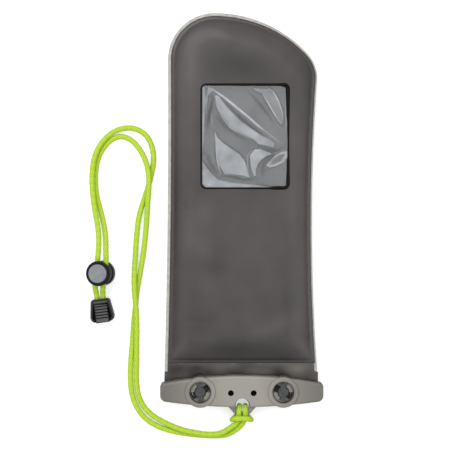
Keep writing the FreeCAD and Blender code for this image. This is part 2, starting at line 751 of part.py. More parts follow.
def make_neck_cord():
    """The whole neck cord as one round tube."""
    path, radii = smooth_path(cord_points)
    cord = tube(path, cord_points, cord_diameter / 2)
    expected = math.pi * cord_diameter ** 2 / 4 * path.Length
    print("cord length %.1f, radii %s" % (path.Length, " ".join("%.1f" % r for r in radii)))
    print("cord volume %.1f, section times length %.1f" % (cord.Volume, expected))
    return cord


def save(name, shape):
    """Write one node."""
    shape.exportStep("parts/" + name + ".step")
    box = shape.BoundBox
    print("%-24s solids %d valid %s volume %.1f  z %.2f..%.2f"
          % (name, len(shape.Solids), shape.isValid(), shape.Volume, box.ZMin, box.ZMax))


def main():
    os.makedirs("parts", exist_ok=True)
    lever = make_lever()
    snap_ring = make_snap_ring()
    save("back_panel", make_back_panel())
    save("camera_window", make_camera_window())
    save("front_panel", make_front_panel())
    save("mouth_lip_back", make_mouth_lip_back())
    save("mouth_lip_front", make_mouth_lip_front())
    save("clamp_front_bar", make_clamp_front_bar())
    save("clamp_back_bar", make_clamp_back_bar())
    save("lever_left", lever)
    save("lever_right", mirrored(lever))
    save("snap_ring_left", snap_ring)
    save("snap_ring_right", mirrored(snap_ring))
    save("lock_barrel", make_lock_barrel())
    save("lock_plunger", make_lock_plunger())
    save("lock_spring", make_lock_spring())
    save("cord_end_base", make_cord_end_base())
    save("cord_end_cover", make_cord_end_cover())
    save("cord_knot", make_cord_knot())
    save("neck_cord", make_neck_cord())


main()
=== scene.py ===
"""Looks of the waterproof phone case, in metres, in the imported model's own frame."""
import math

import bpy
import numpy as np
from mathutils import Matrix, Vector, noise
from mathutils.geometry import delaunay_2d_cdt


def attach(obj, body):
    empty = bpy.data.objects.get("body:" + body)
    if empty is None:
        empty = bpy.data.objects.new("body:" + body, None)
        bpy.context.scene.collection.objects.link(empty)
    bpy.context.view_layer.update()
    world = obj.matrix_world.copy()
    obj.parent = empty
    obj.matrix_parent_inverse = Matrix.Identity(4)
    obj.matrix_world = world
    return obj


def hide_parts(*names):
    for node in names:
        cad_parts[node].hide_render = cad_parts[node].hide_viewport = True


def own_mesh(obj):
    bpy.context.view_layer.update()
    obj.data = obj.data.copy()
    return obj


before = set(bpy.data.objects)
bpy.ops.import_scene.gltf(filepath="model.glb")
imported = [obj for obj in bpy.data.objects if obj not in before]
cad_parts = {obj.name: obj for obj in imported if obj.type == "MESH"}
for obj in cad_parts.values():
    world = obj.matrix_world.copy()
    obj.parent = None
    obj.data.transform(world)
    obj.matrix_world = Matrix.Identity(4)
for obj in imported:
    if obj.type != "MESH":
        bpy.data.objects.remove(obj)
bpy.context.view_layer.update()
MM = 0.001

# The photograph's frame: its side and the pixel over the origin in pixels, a pixel and the camera in mm
PHOTO_SIDE = 450
PIXEL = 0.75
ORIGIN_PIXEL = (241.7, 214.2)
LENS = 135.0
SENSOR = 36.0
FOCUS_LEVEL = 8.0

# Stage: the floor's level in mm and side in metres, the glow of floor and sky, and each lamp's place,
# side and watts
FLOOR_Z = -0.05
FLOOR_SIDE = 6
FLOOR_GLOW = 0.55
SKY_GLOW = 0.62
LAMPS = [("key", (-0.4, 0.7, 1.1), 1.0, 9.5), ("fill", (0.8, -0.2, 1.1), 1.0, 5.0),
         ("low", (-0.9, -0.6, 0.8), 0.7, 3.0)]

# Pouch outline, in mm: tangent arcs, the same as the solids'
APEX_Y = 150.9
CORNER_LEFT_R, TOP_R, CORNER_RIGHT_R = 35.0, 95.0, 27.0
SIDE_LEFT_X, SIDE_LEFT_WAIST_Y, SIDE_LEFT_R = -55.1, 70.0, 6500.0
SIDE_RIGHT_X, SIDE_RIGHT_WAIST_Y, SIDE_RIGHT_R = 52.7, -8.0, 1550.0
FILM = 0.8
BULGE = 6.2
RIM_Z = FILM + BULGE
WELD = 4.5
FOOT_LEAD = 3.5
PALE_RIM = 2.2
RIGHT_LEAD = 1.1
BACK_END_Y, FRONT_END_Y, STRIP_END_Y = -111.6, -118.4, -125.5
FAR_FOOT_Y = -170.0

# Films, in mm: how far in they rise and hang loose, how far they stay inside the solids, a depth in the flat
# middle, the reach of the mouth's ripples, the spacing of each mesh, and the steps round the window
RISE_REACH, LOOSE_REACH = 17.0, 9
BACK_INSIDE, FRONT_INSIDE = 0.15, 0.2
MIDDLE_DEPTH = 40.0
MOUTH_REACH = 17
BACK_SPACING, FRONT_SPACING, WINDOW_SPACING, STRIP_SPACING = 1.25, 1.7, 0.62, 1.1
BEAD_STEP, WINDOW_STEP = 0.8, 0.9

# Camera window, in mm
WINDOW = (-31.0, 35.5, 18.6, 97.6)
WINDOW_CORNER = 4.2
BEAD = 1.5
WINDOW_LAP = 0.5

# Clamp, in mm: its edge, a boss's axis, the painted shade round its recess at each radius, and where along
# the bar it is darkest and palest
BAR_HALF, BAR_MID_Y, BAR_END_Y = 61.0, -120.75, -126.6
BOSS, BOSS_RADIUS = (31.0, -133.05), 11.5
RECESS_REACH = 12.0
RECESS_SHADES = [(6.6, 0.92), (7.2, 0.72), (7.75, 0.30), (8.1, 0.34), (8.5, 0.9), (8.9, 1.0), (10.9, 1.0),
                 (11.45, 0.82)]
BAR_DARK, BAR_PALE = 64.0, 18.0

# Levels, in mm, at which a moulded solid changes its colour
COVER_RIB_Z = 9.9
CLIP_TOP_Z, CLIP_SHOULDER_Z = 9.15, 8.6
# Above this level the front bar sits deep in the back bar's holes and is painted near black as shade
BAR_HOLE_Z = 7.5

# Cord lock, in metres: the way its button goes in, the spring's foot, and the lower flange's top and the
# slopes that get a painted sheen
LOCK_AXIS, LOCK_FOOT = (0.182236, 0, -0.983255), (-0.10443, -0.0443, 0.00296)
FLANGE_TOP, FLANGE_SLOPES = 0.002, (0.25, 0.98)

# Cord end, in mm: its place and turn, and the rib on its bridge
END_PLACE, END_TURN = (-106.35, -63.5), 7.5
END_TOP_Z, END_RIB_Z = 9.2, 10.1

# Neck cord, in mm: the route's points, as in the solids
CORD_DIAMETER = 4.0
CORD_POINTS = [
    (-107.9, -68.7, 4.8), (-109.0, -60.2, 4.9), (-110.2, -54.3, 9.5), (-109.05, -43.9, 9.95),
    (-107.9, -33.6, 10.0), (-107.3, -26.1, 8.8), (-107.2, -16.4, 7.2), (-108.3, -7.4, 6.2),
    (-110.2, 2.4, 6.0), (-112.1, 15.9, 5.9), (-112.6, 28.6, 5.9), (-111.4, 41.4, 5.8),
    (-107.0, 51.9, 5.2), (-99.5, 60.5, 3.9), (-90.5, 64.9, 2.6), (-80.8, 65.2, 2.1), (-72.1, 60.5, 2.1),
    (-67.4, 51.9, 2.1), (-65.9, 41.4, 2.1), (-67.9, 30.1, 2.1), (-70.6, 19.6, 2.1), (-74.0, 9.9, 2.1),
    (-77.5, -1.4, 2.1), (-79.1, -14.9, 2.1), (-79.9, -28.4, 2.4), (-80.6, -40.4, 3.6),
    (-80.9, -49.4, 5.6), (-80.5, -58.4, 6.3), (-79.3, -70.4, 6.3), (-78.8, -82.4, 5.9),
    (-79.0, -95.9, 4.4), (-79.1, -110.9, 2.6), (-79.5, -124.4, 2.1), (-78.4, -135.6, 2.1),
    (-74.0, -145.0, 2.1), (-67.3, -151.7, 2.3), (-57.5, -157.2, 3.6), (-46.3, -161.6, 5.9),
    (-35.0, -164.2, 6.2), (-24.5, -165.6, 6.2), (-15.5, -164.9, 6.3), (-8.8, -160.4, 7.4),
    (-2.4, -155.9, 9.0), (-1.8, -143.9, 9.3), (-1.8, -143.9, 2.1), (-2.4, -150.6, 2.1),
    (-6.9, -154.6, 3.2), (-7.2, -153.8, 9.6), (-4.0, -152.6, 13.2), (4.6, -152.7, 13.2),
    (7.2, -153.8, 9.6), (6.9, -154.6, 3.2), (3.2, -150.6, 2.1), (2.6, -143.9, 2.1), (2.6, -143.9, 9.3),
    (2.7, -156.0, 8.8), (-8.3, -165.5, 3.4), (-17.0, -167.0, 2.2), (-26.8, -166.8, 2.1),
    (-38.0, -165.8, 2.1), (-50.0, -164.0, 2.1), (-62.0, -160.6, 2.1), (-72.5, -154.4, 2.1),
    (-79.3, -145.4, 2.1), (-83.1, -134.9, 2.1), (-84.0, -122.9, 2.1), (-83.5, -109.4, 2.1),
    (-82.2, -95.9, 2.1), (-81.4, -82.4, 2.1), (-80.0, -70.4, 2.1), (-79.0, -58.4, 2.1),
    (-77.2, -48.6, 2.1), (-75.4, -38.1, 2.1), (-73.6, -26.9, 2.1), (-72.2, -13.4, 2.1),
    (-71.3, -1.4, 3.0), (-70.7, 8.4, 5.4), (-69.8, 18.1, 6.3), (-69.6, 27.1, 6.3), (-70.6, 35.4, 5.4),
    (-73.6, 43.6, 3.4), (-78.1, 51.1, 2.3), (-84.1, 57.0, 2.1), (-91.6, 59.2, 2.1), (-99.1, 55.9, 2.1),
    (-105.4, 48.5, 2.1), (-109.3, 39.1, 2.1), (-110.3, 27.1, 2.1), (-109.6, 15.1, 2.1),
    (-106.3, 3.1, 2.1), (-103.5, -8.1, 2.9), (-102.1, -17.9, 5.2), (-101.9, -26.9, 8.3),
    (-101.4, -34.3, 11.3), (-102.6, -44.7, 11.2), (-103.8, -55.0, 10.8), (-104.6, -59.6, 4.9),
    (-103.5, -68.2, 4.8),
]


def pixel_to_mm(x, y):
    """Return the place on the object, in mm, under a pixel of the photograph."""
    return ((x - ORIGIN_PIXEL[0]) * PIXEL, (ORIGIN_PIXEL[1] - y) * PIXEL)


def on_part(pixels):
    """Return the places under several pixels."""
    return np.array([pixel_to_mm(*pixel) for pixel in pixels])


def new_object(name, points, faces):
    """Return a new object of points, in metres, and faces."""
    mesh = bpy.data.meshes.new(name)
    mesh.from_pydata(points.tolist(), [], faces)
    mesh.update()
    obj = bpy.data.objects.new(name, mesh)
    bpy.context.scene.collection.objects.link(obj)
    return obj


def smooth(obj):
    """Shade an object's faces smoothly."""
    obj.data.polygons.foreach_set("use_smooth", [True] * len(obj.data.polygons))


def wear(obj, mats, *names):
    """Add materials to an object, by name."""
    for name in names:
        obj.data.materials.append(mats[name])


# Outline and height fields

def circle_points(centre, radius, start, end, step):
    """Return points along an arc, without its end, about step apart."""
    count = max(2, int(abs(end - start) * radius / step))
    angles = start + (end - start) * np.arange(count) / count
    return np.column_stack([centre[0] + radius * np.cos(angles), centre[1] + radius * np.sin(angles)])


def outline(inset, end_y, step=1.0):
    """Return the pouch's outline, moved in by inset and cut off at end_y, as points going clockwise."""
    left = (SIDE_LEFT_X - SIDE_LEFT_R, SIDE_LEFT_WAIST_Y)
    right = (SIDE_RIGHT_X + SIDE_RIGHT_R, SIDE_RIGHT_WAIST_Y)
    corner_y = APEX_Y - CORNER_LEFT_R
    corner_x = left[0] + math.sqrt((SIDE_LEFT_R + CORNER_LEFT_R) ** 2 - (corner_y - left[1]) ** 2)
    top = (corner_x, APEX_Y - TOP_R)
    gap_x, gap_y = right[0] - top[0], right[1] - top[1]
    gap = math.hypot(gap_x, gap_y)
    near, far = TOP_R - CORNER_RIGHT_R, SIDE_RIGHT_R + CORNER_RIGHT_R
    along = (near ** 2 - far ** 2 + gap ** 2) / (2 * gap)
    across = math.sqrt(near ** 2 - along ** 2)
    corner = (top[0] + (gap_x * along - gap_y * across) / gap,
              top[1] + (gap_y * along + gap_x * across) / gap)
    left_r, right_r = SIDE_LEFT_R + inset, SIDE_RIGHT_R + inset
    left_low = math.asin((end_y - left[1]) / left_r)
    left_high = math.atan2(corner_y - left[1], corner_x - left[0])
    turn_top = math.atan2(corner[1] - top[1], corner[0] - top[0])
    turn_side = math.atan2(right[1] - corner[1], right[0] - corner[0])
    right_high = math.pi + turn_side
    right_low = math.pi - math.asin((end_y - right[1]) / right_r)
    parts = [circle_points(left, left_r, left_low, left_high, step),
             circle_points((corner_x, corner_y), CORNER_LEFT_R - inset, math.pi + left_high, math.pi / 2,
                           step),
             circle_points(top, TOP_R - inset, math.pi / 2, turn_top, step),
             circle_points(corner, CORNER_RIGHT_R - inset, turn_top, turn_side, step),
             circle_points(right, right_r, right_high, right_low, step)]
    right_x = right[0] + right_r * math.cos(right_low)
    left_x = left[0] + left_r * math.cos(left_low)
    count = int((right_x - left_x) / step)
    foot = np.column_stack([np.linspace(right_x, left_x, count + 1)[:-1], np.full(count, end_y)])
    return np.vstack(parts + [foot])


def rounded_rectangle(x0, x1, y0, y1, radius, step):
    """Return the points of a rounded rectangle, going anticlockwise."""
    points = []
    corners = [(x1 - radius, y1 - radius, 0), (x0 + radius, y1 - radius, 1),
               (x0 + radius, y0 + radius, 2), (x1 - radius, y0 + radius, 3)]
    turn = max(6, int(radius * math.pi / 2 / step))
    for cx, cy, quarter in corners:
        for i in range(turn + 1):
            angle = math.pi / 2 * (quarter + i / turn)
            points.append((cx + radius * math.cos(angle), cy + radius * math.sin(angle)))
    dense = []
    for (ax, ay), (bx, by) in zip(points, points[1:] + points[:1]):
        count = max(1, int(math.hypot(bx - ax, by - ay) / step))
        dense += [(ax + (bx - ax) * i / count, ay + (by - ay) * i / count) for i in range(count)]
    return np.array(dense)


def inside(points, polygon):
    """Return which points lie in a polygon."""
    x, y = points[:, 0], points[:, 1]
    result = np.zeros(len(points), bool)
    ax, ay = polygon[:, 0], polygon[:, 1]
    bx, by = np.roll(ax, -1), np.roll(ay, -1)
    for x0, y0, x1, y1 in zip(ax, ay, bx, by):
        if y0 == y1:
            continue
        crosses = (y0 > y) != (y1 > y)
        result ^= crosses & (x < (x1 - x0) * (y - y0) / (y1 - y0) + x0)
    return result


def distance_to(points, polygon):
    """Return each point's distance to a polygon's edges."""
    best = np.full(len(points), 1e9)
    for a, b in zip(polygon, np.roll(polygon, -1, axis=0)):
        way = b - a
        length = way @ way
        if length < 1e-12:
            continue
        share = np.clip(((points - a) @ way) / length, 0, 1)
        best = np.minimum(best, np.hypot(*(points - a - share[:, None] * way).T))
    return best


def film_mesh(name, border, spacing, height, hole=None, edge=None, seam=None):
    """Return a sheet over a flat outline, in mm, its height a function of x, y and the distance to its edge.

    The sheet's faces end at the hole and along the seam, a closed line that parts two finishes.
    """
    low, high = border.min(axis=0), border.max(axis=0)
    rows = []
    row = 0
    y = low[1]
    while y < high[1]:
        xs = np.arange(low[0] + (row % 2) * spacing / 2, high[0], spacing)
        rows.append(np.column_stack([xs, np.full(len(xs), y)]))
        y += spacing * math.sqrt(3) / 2
        row += 1
    lattice = np.vstack(rows)
    rings = [ring for ring in (border, hole, seam) if ring is not None]
    keep = inside(lattice, border)
    if hole is not None:
        keep &= ~inside(lattice, hole)
    edges = []
    first = 0
    for ring in rings:
        keep &= distance_to(lattice, ring) > spacing * 0.6
        edges += [(first + i, first + (i + 1) % len(ring)) for i in range(len(ring))]
        first += len(ring)
    points = np.vstack(rings + [lattice[keep]])
    flat, _, faces, *_ = delaunay_2d_cdt([Vector(p) for p in points.tolist()], edges, [], 0, 1e-7)
    flat = np.array([tuple(p) for p in flat])
    triangles = np.array([tuple(f) for f in faces])
    middle = flat[triangles].mean(axis=1)
    good = inside(middle, border)
    if hole is not None:
        good &= ~inside(middle, hole)
    triangles = triangles[good]
    depth = distance_to(flat, border if edge is None else edge)
    z = height(flat[:, 0], flat[:, 1], depth)
    obj = new_object(name, np.column_stack([flat, z]) * MM, triangles.tolist())
    smooth(obj)
    return obj, flat


def give_value(obj, name, values):
    """Store one number per vertex on an object's mesh."""
    layer = obj.data.attributes.new(name, "FLOAT", "POINT")
    layer.data.foreach_set("value", np.asarray(values, np.float32).ravel())


def wave(x, y, size, seed):
    """Return smooth noise over the plane, about -1 to 1, with features of a size in mm."""
    return np.array([noise.noise(Vector((a / size, b / size, seed))) for a, b in zip(x, y)])


def waves(x, y, layers):
    """Return noise in layers, each with its strength, size in mm and seed."""
    return sum(strength * wave(x, y, size, seed) for strength, size, seed in layers)


def ridge(distance, middle, half):
    """Return a soft line, 1 where a distance is its middle, fading out over half its width in mm."""
    return np.exp(-((distance - middle) / half) ** 2)


def bump_at(x, y, cx, cy, wide, long, angle):
    """Return a smooth hump, 1 at its middle, wide by long mm, its length turned by angle from +Y."""
    turn = math.radians(angle)
    u = (x - cx) * math.cos(turn) + (y - cy) * math.sin(turn)
    v = -(x - cx) * math.sin(turn) + (y - cy) * math.cos(turn)
    return np.exp(-(u / wide) ** 2 - (v / long) ** 2)


def patches(x, y, table, gain=1.0):
    """Return the sum of a table's soft patches."""
    return sum(gain * strength * bump_at(x, y, *pixel_to_mm(*pixel), wide, long, angle)
               for pixel, wide, long, angle, strength in table)


def crease(x, y, pixels, width):
    """Return a fold along a line of pixels, 1 on its crest, fading out at its ends."""
    line = on_part(pixels)
    best = np.full(len(x), 1e9)
    share = np.zeros(len(x))
    lengths = np.hypot(*np.diff(line, axis=0).T)
    total = lengths.sum()
    done = 0.0
    at = np.column_stack([x, y])
    for a, b, length in zip(line, line[1:], lengths):
        t = np.clip(((at - a) @ (b - a)) / length ** 2, 0, 1)
        gap = np.hypot(*(at - a - t[:, None] * (b - a)).T)
        nearer = gap < best
        best = np.where(nearer, gap, best)
        share = np.where(nearer, (done + t * length) / total, share)
        done += length
    return np.exp(-(best / width) ** 1.6) * np.sin(np.pi * np.clip(share, 0.02, 0.98)) ** 0.6


# Materials

# Grains: size and depth, in metres
FINE_GRAIN = (0.0004, 0.00002)
FILM_GRAIN = (0.0006, 0.00003)


def principled(mat):
    """Return a material's Principled shader."""
    return mat.node_tree.nodes["Principled BSDF"]


def material(name, base, roughness, **sockets):
    """Return a Principled material, with more of its sockets set by name, _ for spaces."""
    mat = bpy.data.materials.new(name)
    mat.use_nodes = True
    shader = principled(mat)
    shader.inputs["Base Color"].default_value = (*base, 1)
    shader.inputs["Roughness"].default_value = roughness
    for key, value in sockets.items():
        shader.inputs[key.replace("_", " ")].default_value = value
    return mat


def node(mat, kind, **values):
    """Add a node and set its values: input names with _ for spaces, or properties."""
    made = mat.node_tree.nodes.new(kind)
    for key, value in values.items():
        label = key.replace("_", " ")
        if label in made.inputs:
            made.inputs[label].default_value = value
        else:
            setattr(made, key, value)
    return made


def link(mat, source, target):
    """Join an output socket to an input socket."""
    mat.node_tree.links.new(source, target)


def ramp(mat, source, low, high, start=0.0, end=1.0):
    """Blend two colours by a socket's value; return the colour's socket."""
    made = node(mat, "ShaderNodeValToRGB")
    first, last = made.color_ramp.elements
    first.position, last.position = start, end
    first.color, last.color = (*low, 1), (*high, 1)
    link(mat, source, made.inputs["Fac"])
    return made.outputs["Color"]


def speckle(mat, size, detail):
    """Return the socket of a noise over the object, with features of a size in metres."""
    place = node(mat, "ShaderNodeTexCoord")
    texture = node(mat, "ShaderNodeTexNoise", Scale=1 / size, Detail=detail)
    link(mat, place.outputs["Object"], texture.inputs["Vector"])
    return texture.outputs["Fac"]


def grain(mat, size, depth):
    """Give a material a fine surface grain of a size and depth, in metres."""
    bump = node(mat, "ShaderNodeBump", Strength=1.0, Distance=depth)
    link(mat, speckle(mat, size, 3.0), bump.inputs["Height"])
    link(mat, bump.outputs["Normal"], principled(mat).inputs["Normal"])


def vary(mat, size, low, high, detail=4.0):
    """Vary a material's colour between two colours in patches of a size, in metres."""
    color = ramp(mat, speckle(mat, size, detail), low, high, 0.3, 0.7)
    link(mat, color, principled(mat).inputs["Base Color"])


def vary_roughness(mat, size, low, high):
    """Vary a material's roughness in patches of a size, in metres."""
    spread = node(mat, "ShaderNodeMapRange", To_Min=low, To_Max=high)
    link(mat, speckle(mat, size, 3.0), spread.inputs["Value"])
    link(mat, spread.outputs["Result"], principled(mat).inputs["Roughness"])


def by_value(mat, name, low, high, end=1.0):
    """Blend a material's colour between two colours by its mesh's painted value, from 0 to an end."""
    value = node(mat, "ShaderNodeAttribute", attribute_name=name)
    color = ramp(mat, value.outputs["Fac"], low, high, 0.0, end)
    link(mat, color, principled(mat).inputs["Base Color"])


def along_bar(mat, dark, pale):
    """Blend the clamp's colour from a pale middle to dark ends, with painted shadow lines round the
    recesses.
    """
    place = node(mat, "ShaderNodeTexCoord")
    split = node(mat, "ShaderNodeSeparateXYZ")
    away = node(mat, "ShaderNodeMath", operation="ABSOLUTE")
    mottle = node(mat, "ShaderNodeMath", operation="MULTIPLY_ADD")
    mottle.inputs[1].default_value = 0.012
    spread = node(mat, "ShaderNodeMapRange", From_Min=BAR_DARK * MM, From_Max=BAR_PALE * MM)
    link(mat, place.outputs["Object"], split.inputs["Vector"])
    link(mat, split.outputs["X"], away.inputs[0])
    link(mat, speckle(mat, 1 / 60, 2.0), mottle.inputs[0])
    link(mat, away.outputs["Value"], mottle.inputs[2])
    link(mat, mottle.outputs["Value"], spread.inputs["Value"])
    corner = node(mat, "ShaderNodeCombineXYZ")
    gap = node(mat, "ShaderNodeVectorMath", operation="DISTANCE")
    gap.inputs[1].default_value = (BOSS[0] * MM, BOSS[1] * MM, 0)
    reach = node(mat, "ShaderNodeMath", operation="DIVIDE")
    reach.inputs[1].default_value = RECESS_REACH * MM
    link(mat, away.outputs["Value"], corner.inputs["X"])
    link(mat, split.outputs["Y"], corner.inputs["Y"])
    link(mat, corner.outputs["Vector"], gap.inputs[0])
    link(mat, gap.outputs["Value"], reach.inputs[0])
    # Painted shadow lines round each recess and along the boss's edge
    ring = ramp(mat, reach.outputs["Value"], (1, 1, 1), (1, 1, 1))
    for radius, shade in RECESS_SHADES:
        stop = ring.node.color_ramp.elements.new(radius / RECESS_REACH)
        stop.color = (shade, shade, shade, 1)
    paint = node(mat, "ShaderNodeMix", data_type="RGBA", blend_type="MULTIPLY", Factor=1.0)
    link(mat, ramp(mat, spread.outputs["Result"], dark, pale), paint.inputs[6])
    link(mat, ring, paint.inputs[7])
    link(mat, paint.outputs[2], principled(mat).inputs["Base Color"])


def film_material(name, tint, haze, haze_color, roughness, gloss, dark=None):
    """Return clear film, which tints the light it lets through and reflects by its angle.

    Where a dark tint is given, its mesh's shine value paints a reflection onto it and its shade value paints
    shade into it.
    """
    mat = material(name, haze_color, roughness, IOR=1.5)
    clear = node(mat, "ShaderNodeBsdfTransparent", Color=(*tint, 1))
    edge = node(mat, "ShaderNodeLayerWeight", Blend=gloss)
    share = node(mat, "ShaderNodeMapRange", To_Min=haze, To_Max=1.0)
    mix = node(mat, "ShaderNodeMixShader")
    link(mat, edge.outputs["Fresnel"], share.inputs["Value"])
    amount = share.outputs["Result"]
    if dark:
        painted_shine = node(mat, "ShaderNodeAttribute", attribute_name="painted_shine")
        shade = node(mat, "ShaderNodeAttribute", attribute_name="shade")
        most = node(mat, "ShaderNodeMath", operation="MAXIMUM")
        link(mat, amount, most.inputs[0])
        link(mat, painted_shine.outputs["Fac"], most.inputs[1])
        link(mat, ramp(mat, shade.outputs["Fac"], tint, dark), clear.inputs["Color"])
        amount = most.outputs["Value"]
    link(mat, amount, mix.inputs["Fac"])
    link(mat, clear.outputs["BSDF"], mix.inputs[1])
    link(mat, principled(mat).outputs["BSDF"], mix.inputs[2])
    link(mat, mix.outputs["Shader"], mat.node_tree.nodes["Material Output"].inputs["Surface"])
    return mat


def make_materials():
    """Return every material by name."""
    made = {}

    def add(name, base, roughness, grains=None, **sockets):
        """Make a material with its grain and keep it."""
        made[name] = material(name, base, roughness, **sockets)
        if grains:
            grain(made[name], *grains)
        return made[name]

    mat = add("case_grey", (0.05, 0.043, 0.041), 0.42, FILM_GRAIN)
    # Its colour follows the painted highlights and shade stored on its mesh, over random unevenness
    by_value(mat, "tone_and_painted_light", (0.014, 0.0115, 0.0115), (0.108, 0.092, 0.0905))
    vary_roughness(mat, 0.03, 0.38, 0.52)
    add("case_weld", (0.045, 0.04, 0.038), 0.3, (0.0009, 0.00006))
    mat = add("pale_weld", (0.42, 0.40, 0.365), 0.35, (0.0008, 0.00008))
    vary(mat, 0.004, (0.35, 0.335, 0.305), (0.50, 0.48, 0.44))
    made["front_film"] = film_material("front_film", (0.93, 0.92, 0.89), 0.10, (0.75, 0.73, 0.68), 0.18,
                                       0.35)
    made["window_film"] = film_material("window_film", (0.42, 0.43, 0.46), 0.05, (0.52, 0.55, 0.59), 0.12,
                                        0.4, dark=(0.09, 0.10, 0.11))
    add("window_bead", (0.002, 0.002, 0.002), 0.3, (0.001, 0.00005), Specular_IOR_Level=0.12)
    mat = add("lip", (0.06, 0.052, 0.047), 0.38, FILM_GRAIN)
    vary(mat, 0.017, (0.026, 0.021, 0.018), (0.125, 0.108, 0.098), detail=1.5)
    mat = add("lip_strip", (0.06, 0.052, 0.047), 0.4, FILM_GRAIN)
    # Its colour follows the painted highlights and shade stored on its mesh, darker near the clamp
    by_value(mat, "tone_and_painted_light", (0.012, 0.009, 0.008), (0.155, 0.133, 0.120))
    mat = add("clamp", (0.25, 0.235, 0.205), 0.36, FINE_GRAIN)
    along_bar(mat, (0.138, 0.130, 0.112), (0.288, 0.272, 0.242))
    vary_roughness(mat, 0.01, 0.32, 0.42)
    mat = add("lever", (0.042, 0.044, 0.043), 0.4, FINE_GRAIN)
    vary(mat, 0.004, (0.028, 0.030, 0.030), (0.060, 0.062, 0.060))
    add("lock_black", (0.004, 0.004, 0.0045), 0.34, FINE_GRAIN, Specular_IOR_Level=0.22)
    add("clip_grey", (0.012, 0.0125, 0.0125), 0.4, FINE_GRAIN, Specular_IOR_Level=0.3)
    # Lighter grey of the ribs, also used as a painted sheen on upward sloping black faces
    add("rib_grey_and_sheen", (0.075, 0.077, 0.076), 0.36, FINE_GRAIN)
    # Near black painted shade for faces deep in holes
    add("painted_hole_shade", (0.004, 0.004, 0.004), 0.6, Specular_IOR_Level=0.1)
    mat = add("lock_grey", (0.205, 0.222, 0.238), 0.33, (0.0003, 0.00001))
    vary(mat, 0.006, (0.172, 0.188, 0.205), (0.24, 0.256, 0.268))
    add("steel", (0.5, 0.5, 0.5), 0.25, Metallic=1.0)
    # The cord is painted darker between its yarns than on their crowns: painted shade in the braid's grooves
    mat = add("cord", (0.5, 0.72, 0.03), 0.75, (0.0003, 0.00004), Specular_IOR_Level=0.25)
    by_value(mat, "crown", (0.27, 0.43, 0.015), (0.49, 0.68, 0.05), 0.75)
    return made


# Pouch

def pouch_rise(depth):
    """Return the films' rise, 0 at the weld to 1 in the flat middle."""
    share = np.clip((depth - WELD) / RISE_REACH, 0, 1)
    return 1 - (1 - share) ** 2


# Layers of noise in the films' levels and brightness: strength, size in mm, seed
BACK_WAVES = [(0.22, 55, 3.1), (0.10, 21, 8.7), (0.03, 7, 1.9)]
TONE_WAVES = [(0.13, 34, 1.2), (0.08, 13, 7.7), (0.03, 5, 3.9)]
FRONT_WAVES = [(0.25, 48, 12.1), (0.12, 15, 3.3)]
WINDOW_WAVES = [(0.35, 16, 2.2), (0.10, 5, 6.1)]
SHINE_WAVES = [(0.4, 16, 5.2), (0.12, 5, 2.6)]
SHADE_WAVES = [(0.25, 20, 4.8), (0.12, 7, 0.7)]

# Dents of the back film: height, place, half width and half length in mm, angle
DENTS = [(-0.45, -34, 128, 9, 26, -35), (0.35, -8, 128, 8, 24, 55), (0.25, -48, 10, 1.3, 80, 0)]

# Lines along the films' edges: distance from the edge and half width, in mm. They are a darker line along
# the weld, a painted shadow in the fold at the back film's foot, a painted highlight just below it, and a
# raised rim
WELD_LINE, FOLD_SHADOW_LINE, FOLD_HIGHLIGHT_LINE, RIM_LINE = (3.0, 1.6), (2.3, 0.7), (0.6, 0.6), (0.5, 0.35)

# Creases of the back film: a line in pixels of the photograph, half width and height in mm
CREASES = [
    ([(172, 199), (179, 203), (188, 211)], 1.6, -0.5), ([(313, 193), (309, 202), (305, 210)], 1.5, -0.4),
    ([(178, 318), (205, 322), (222, 319)], 3.0, -0.25), ([(176, 240), (177, 280), (176, 312)], 2.2, -0.3),
    ([(238, 345), (262, 335), (292, 322)], 6.0, 0.35), ([(214, 22), (226, 34), (236, 46)], 6.0, 0.3),
    ([(262, 20), (284, 34), (300, 52)], 5.0, 0.3), ([(186, 340), (215, 350), (240, 356)], 5.0, -0.3),
]


def back_height(x, y, depth):
    """Return the height of the dark film's top, in mm, with its soft dents and creases."""
    to_rim = depth + PALE_RIM
    to_foot = y - BACK_END_Y + FOOT_LEAD
    rise = pouch_rise(to_rim) * pouch_rise(to_foot)
    z = RIM_Z + FILM + (BULGE - BACK_INSIDE) * rise
    loose = np.clip((np.minimum(to_rim, to_foot) - WELD) / LOOSE_REACH, 0, 1)
    z += loose * waves(x, y, BACK_WAVES)
    for height, *place in DENTS:
        z += loose * height * bump_at(x, y, *place)
    for pixels, width, height in CREASES:
        z += loose * height * crease(x, y, pixels, width)
    z += ridge(y, BACK_END_Y, MOUTH_REACH) * loose * 0.5 * wave(x, y * 0.35, 9, 5.5)
    return np.minimum(z, RIM_Z + FILM + BULGE + 0.4)


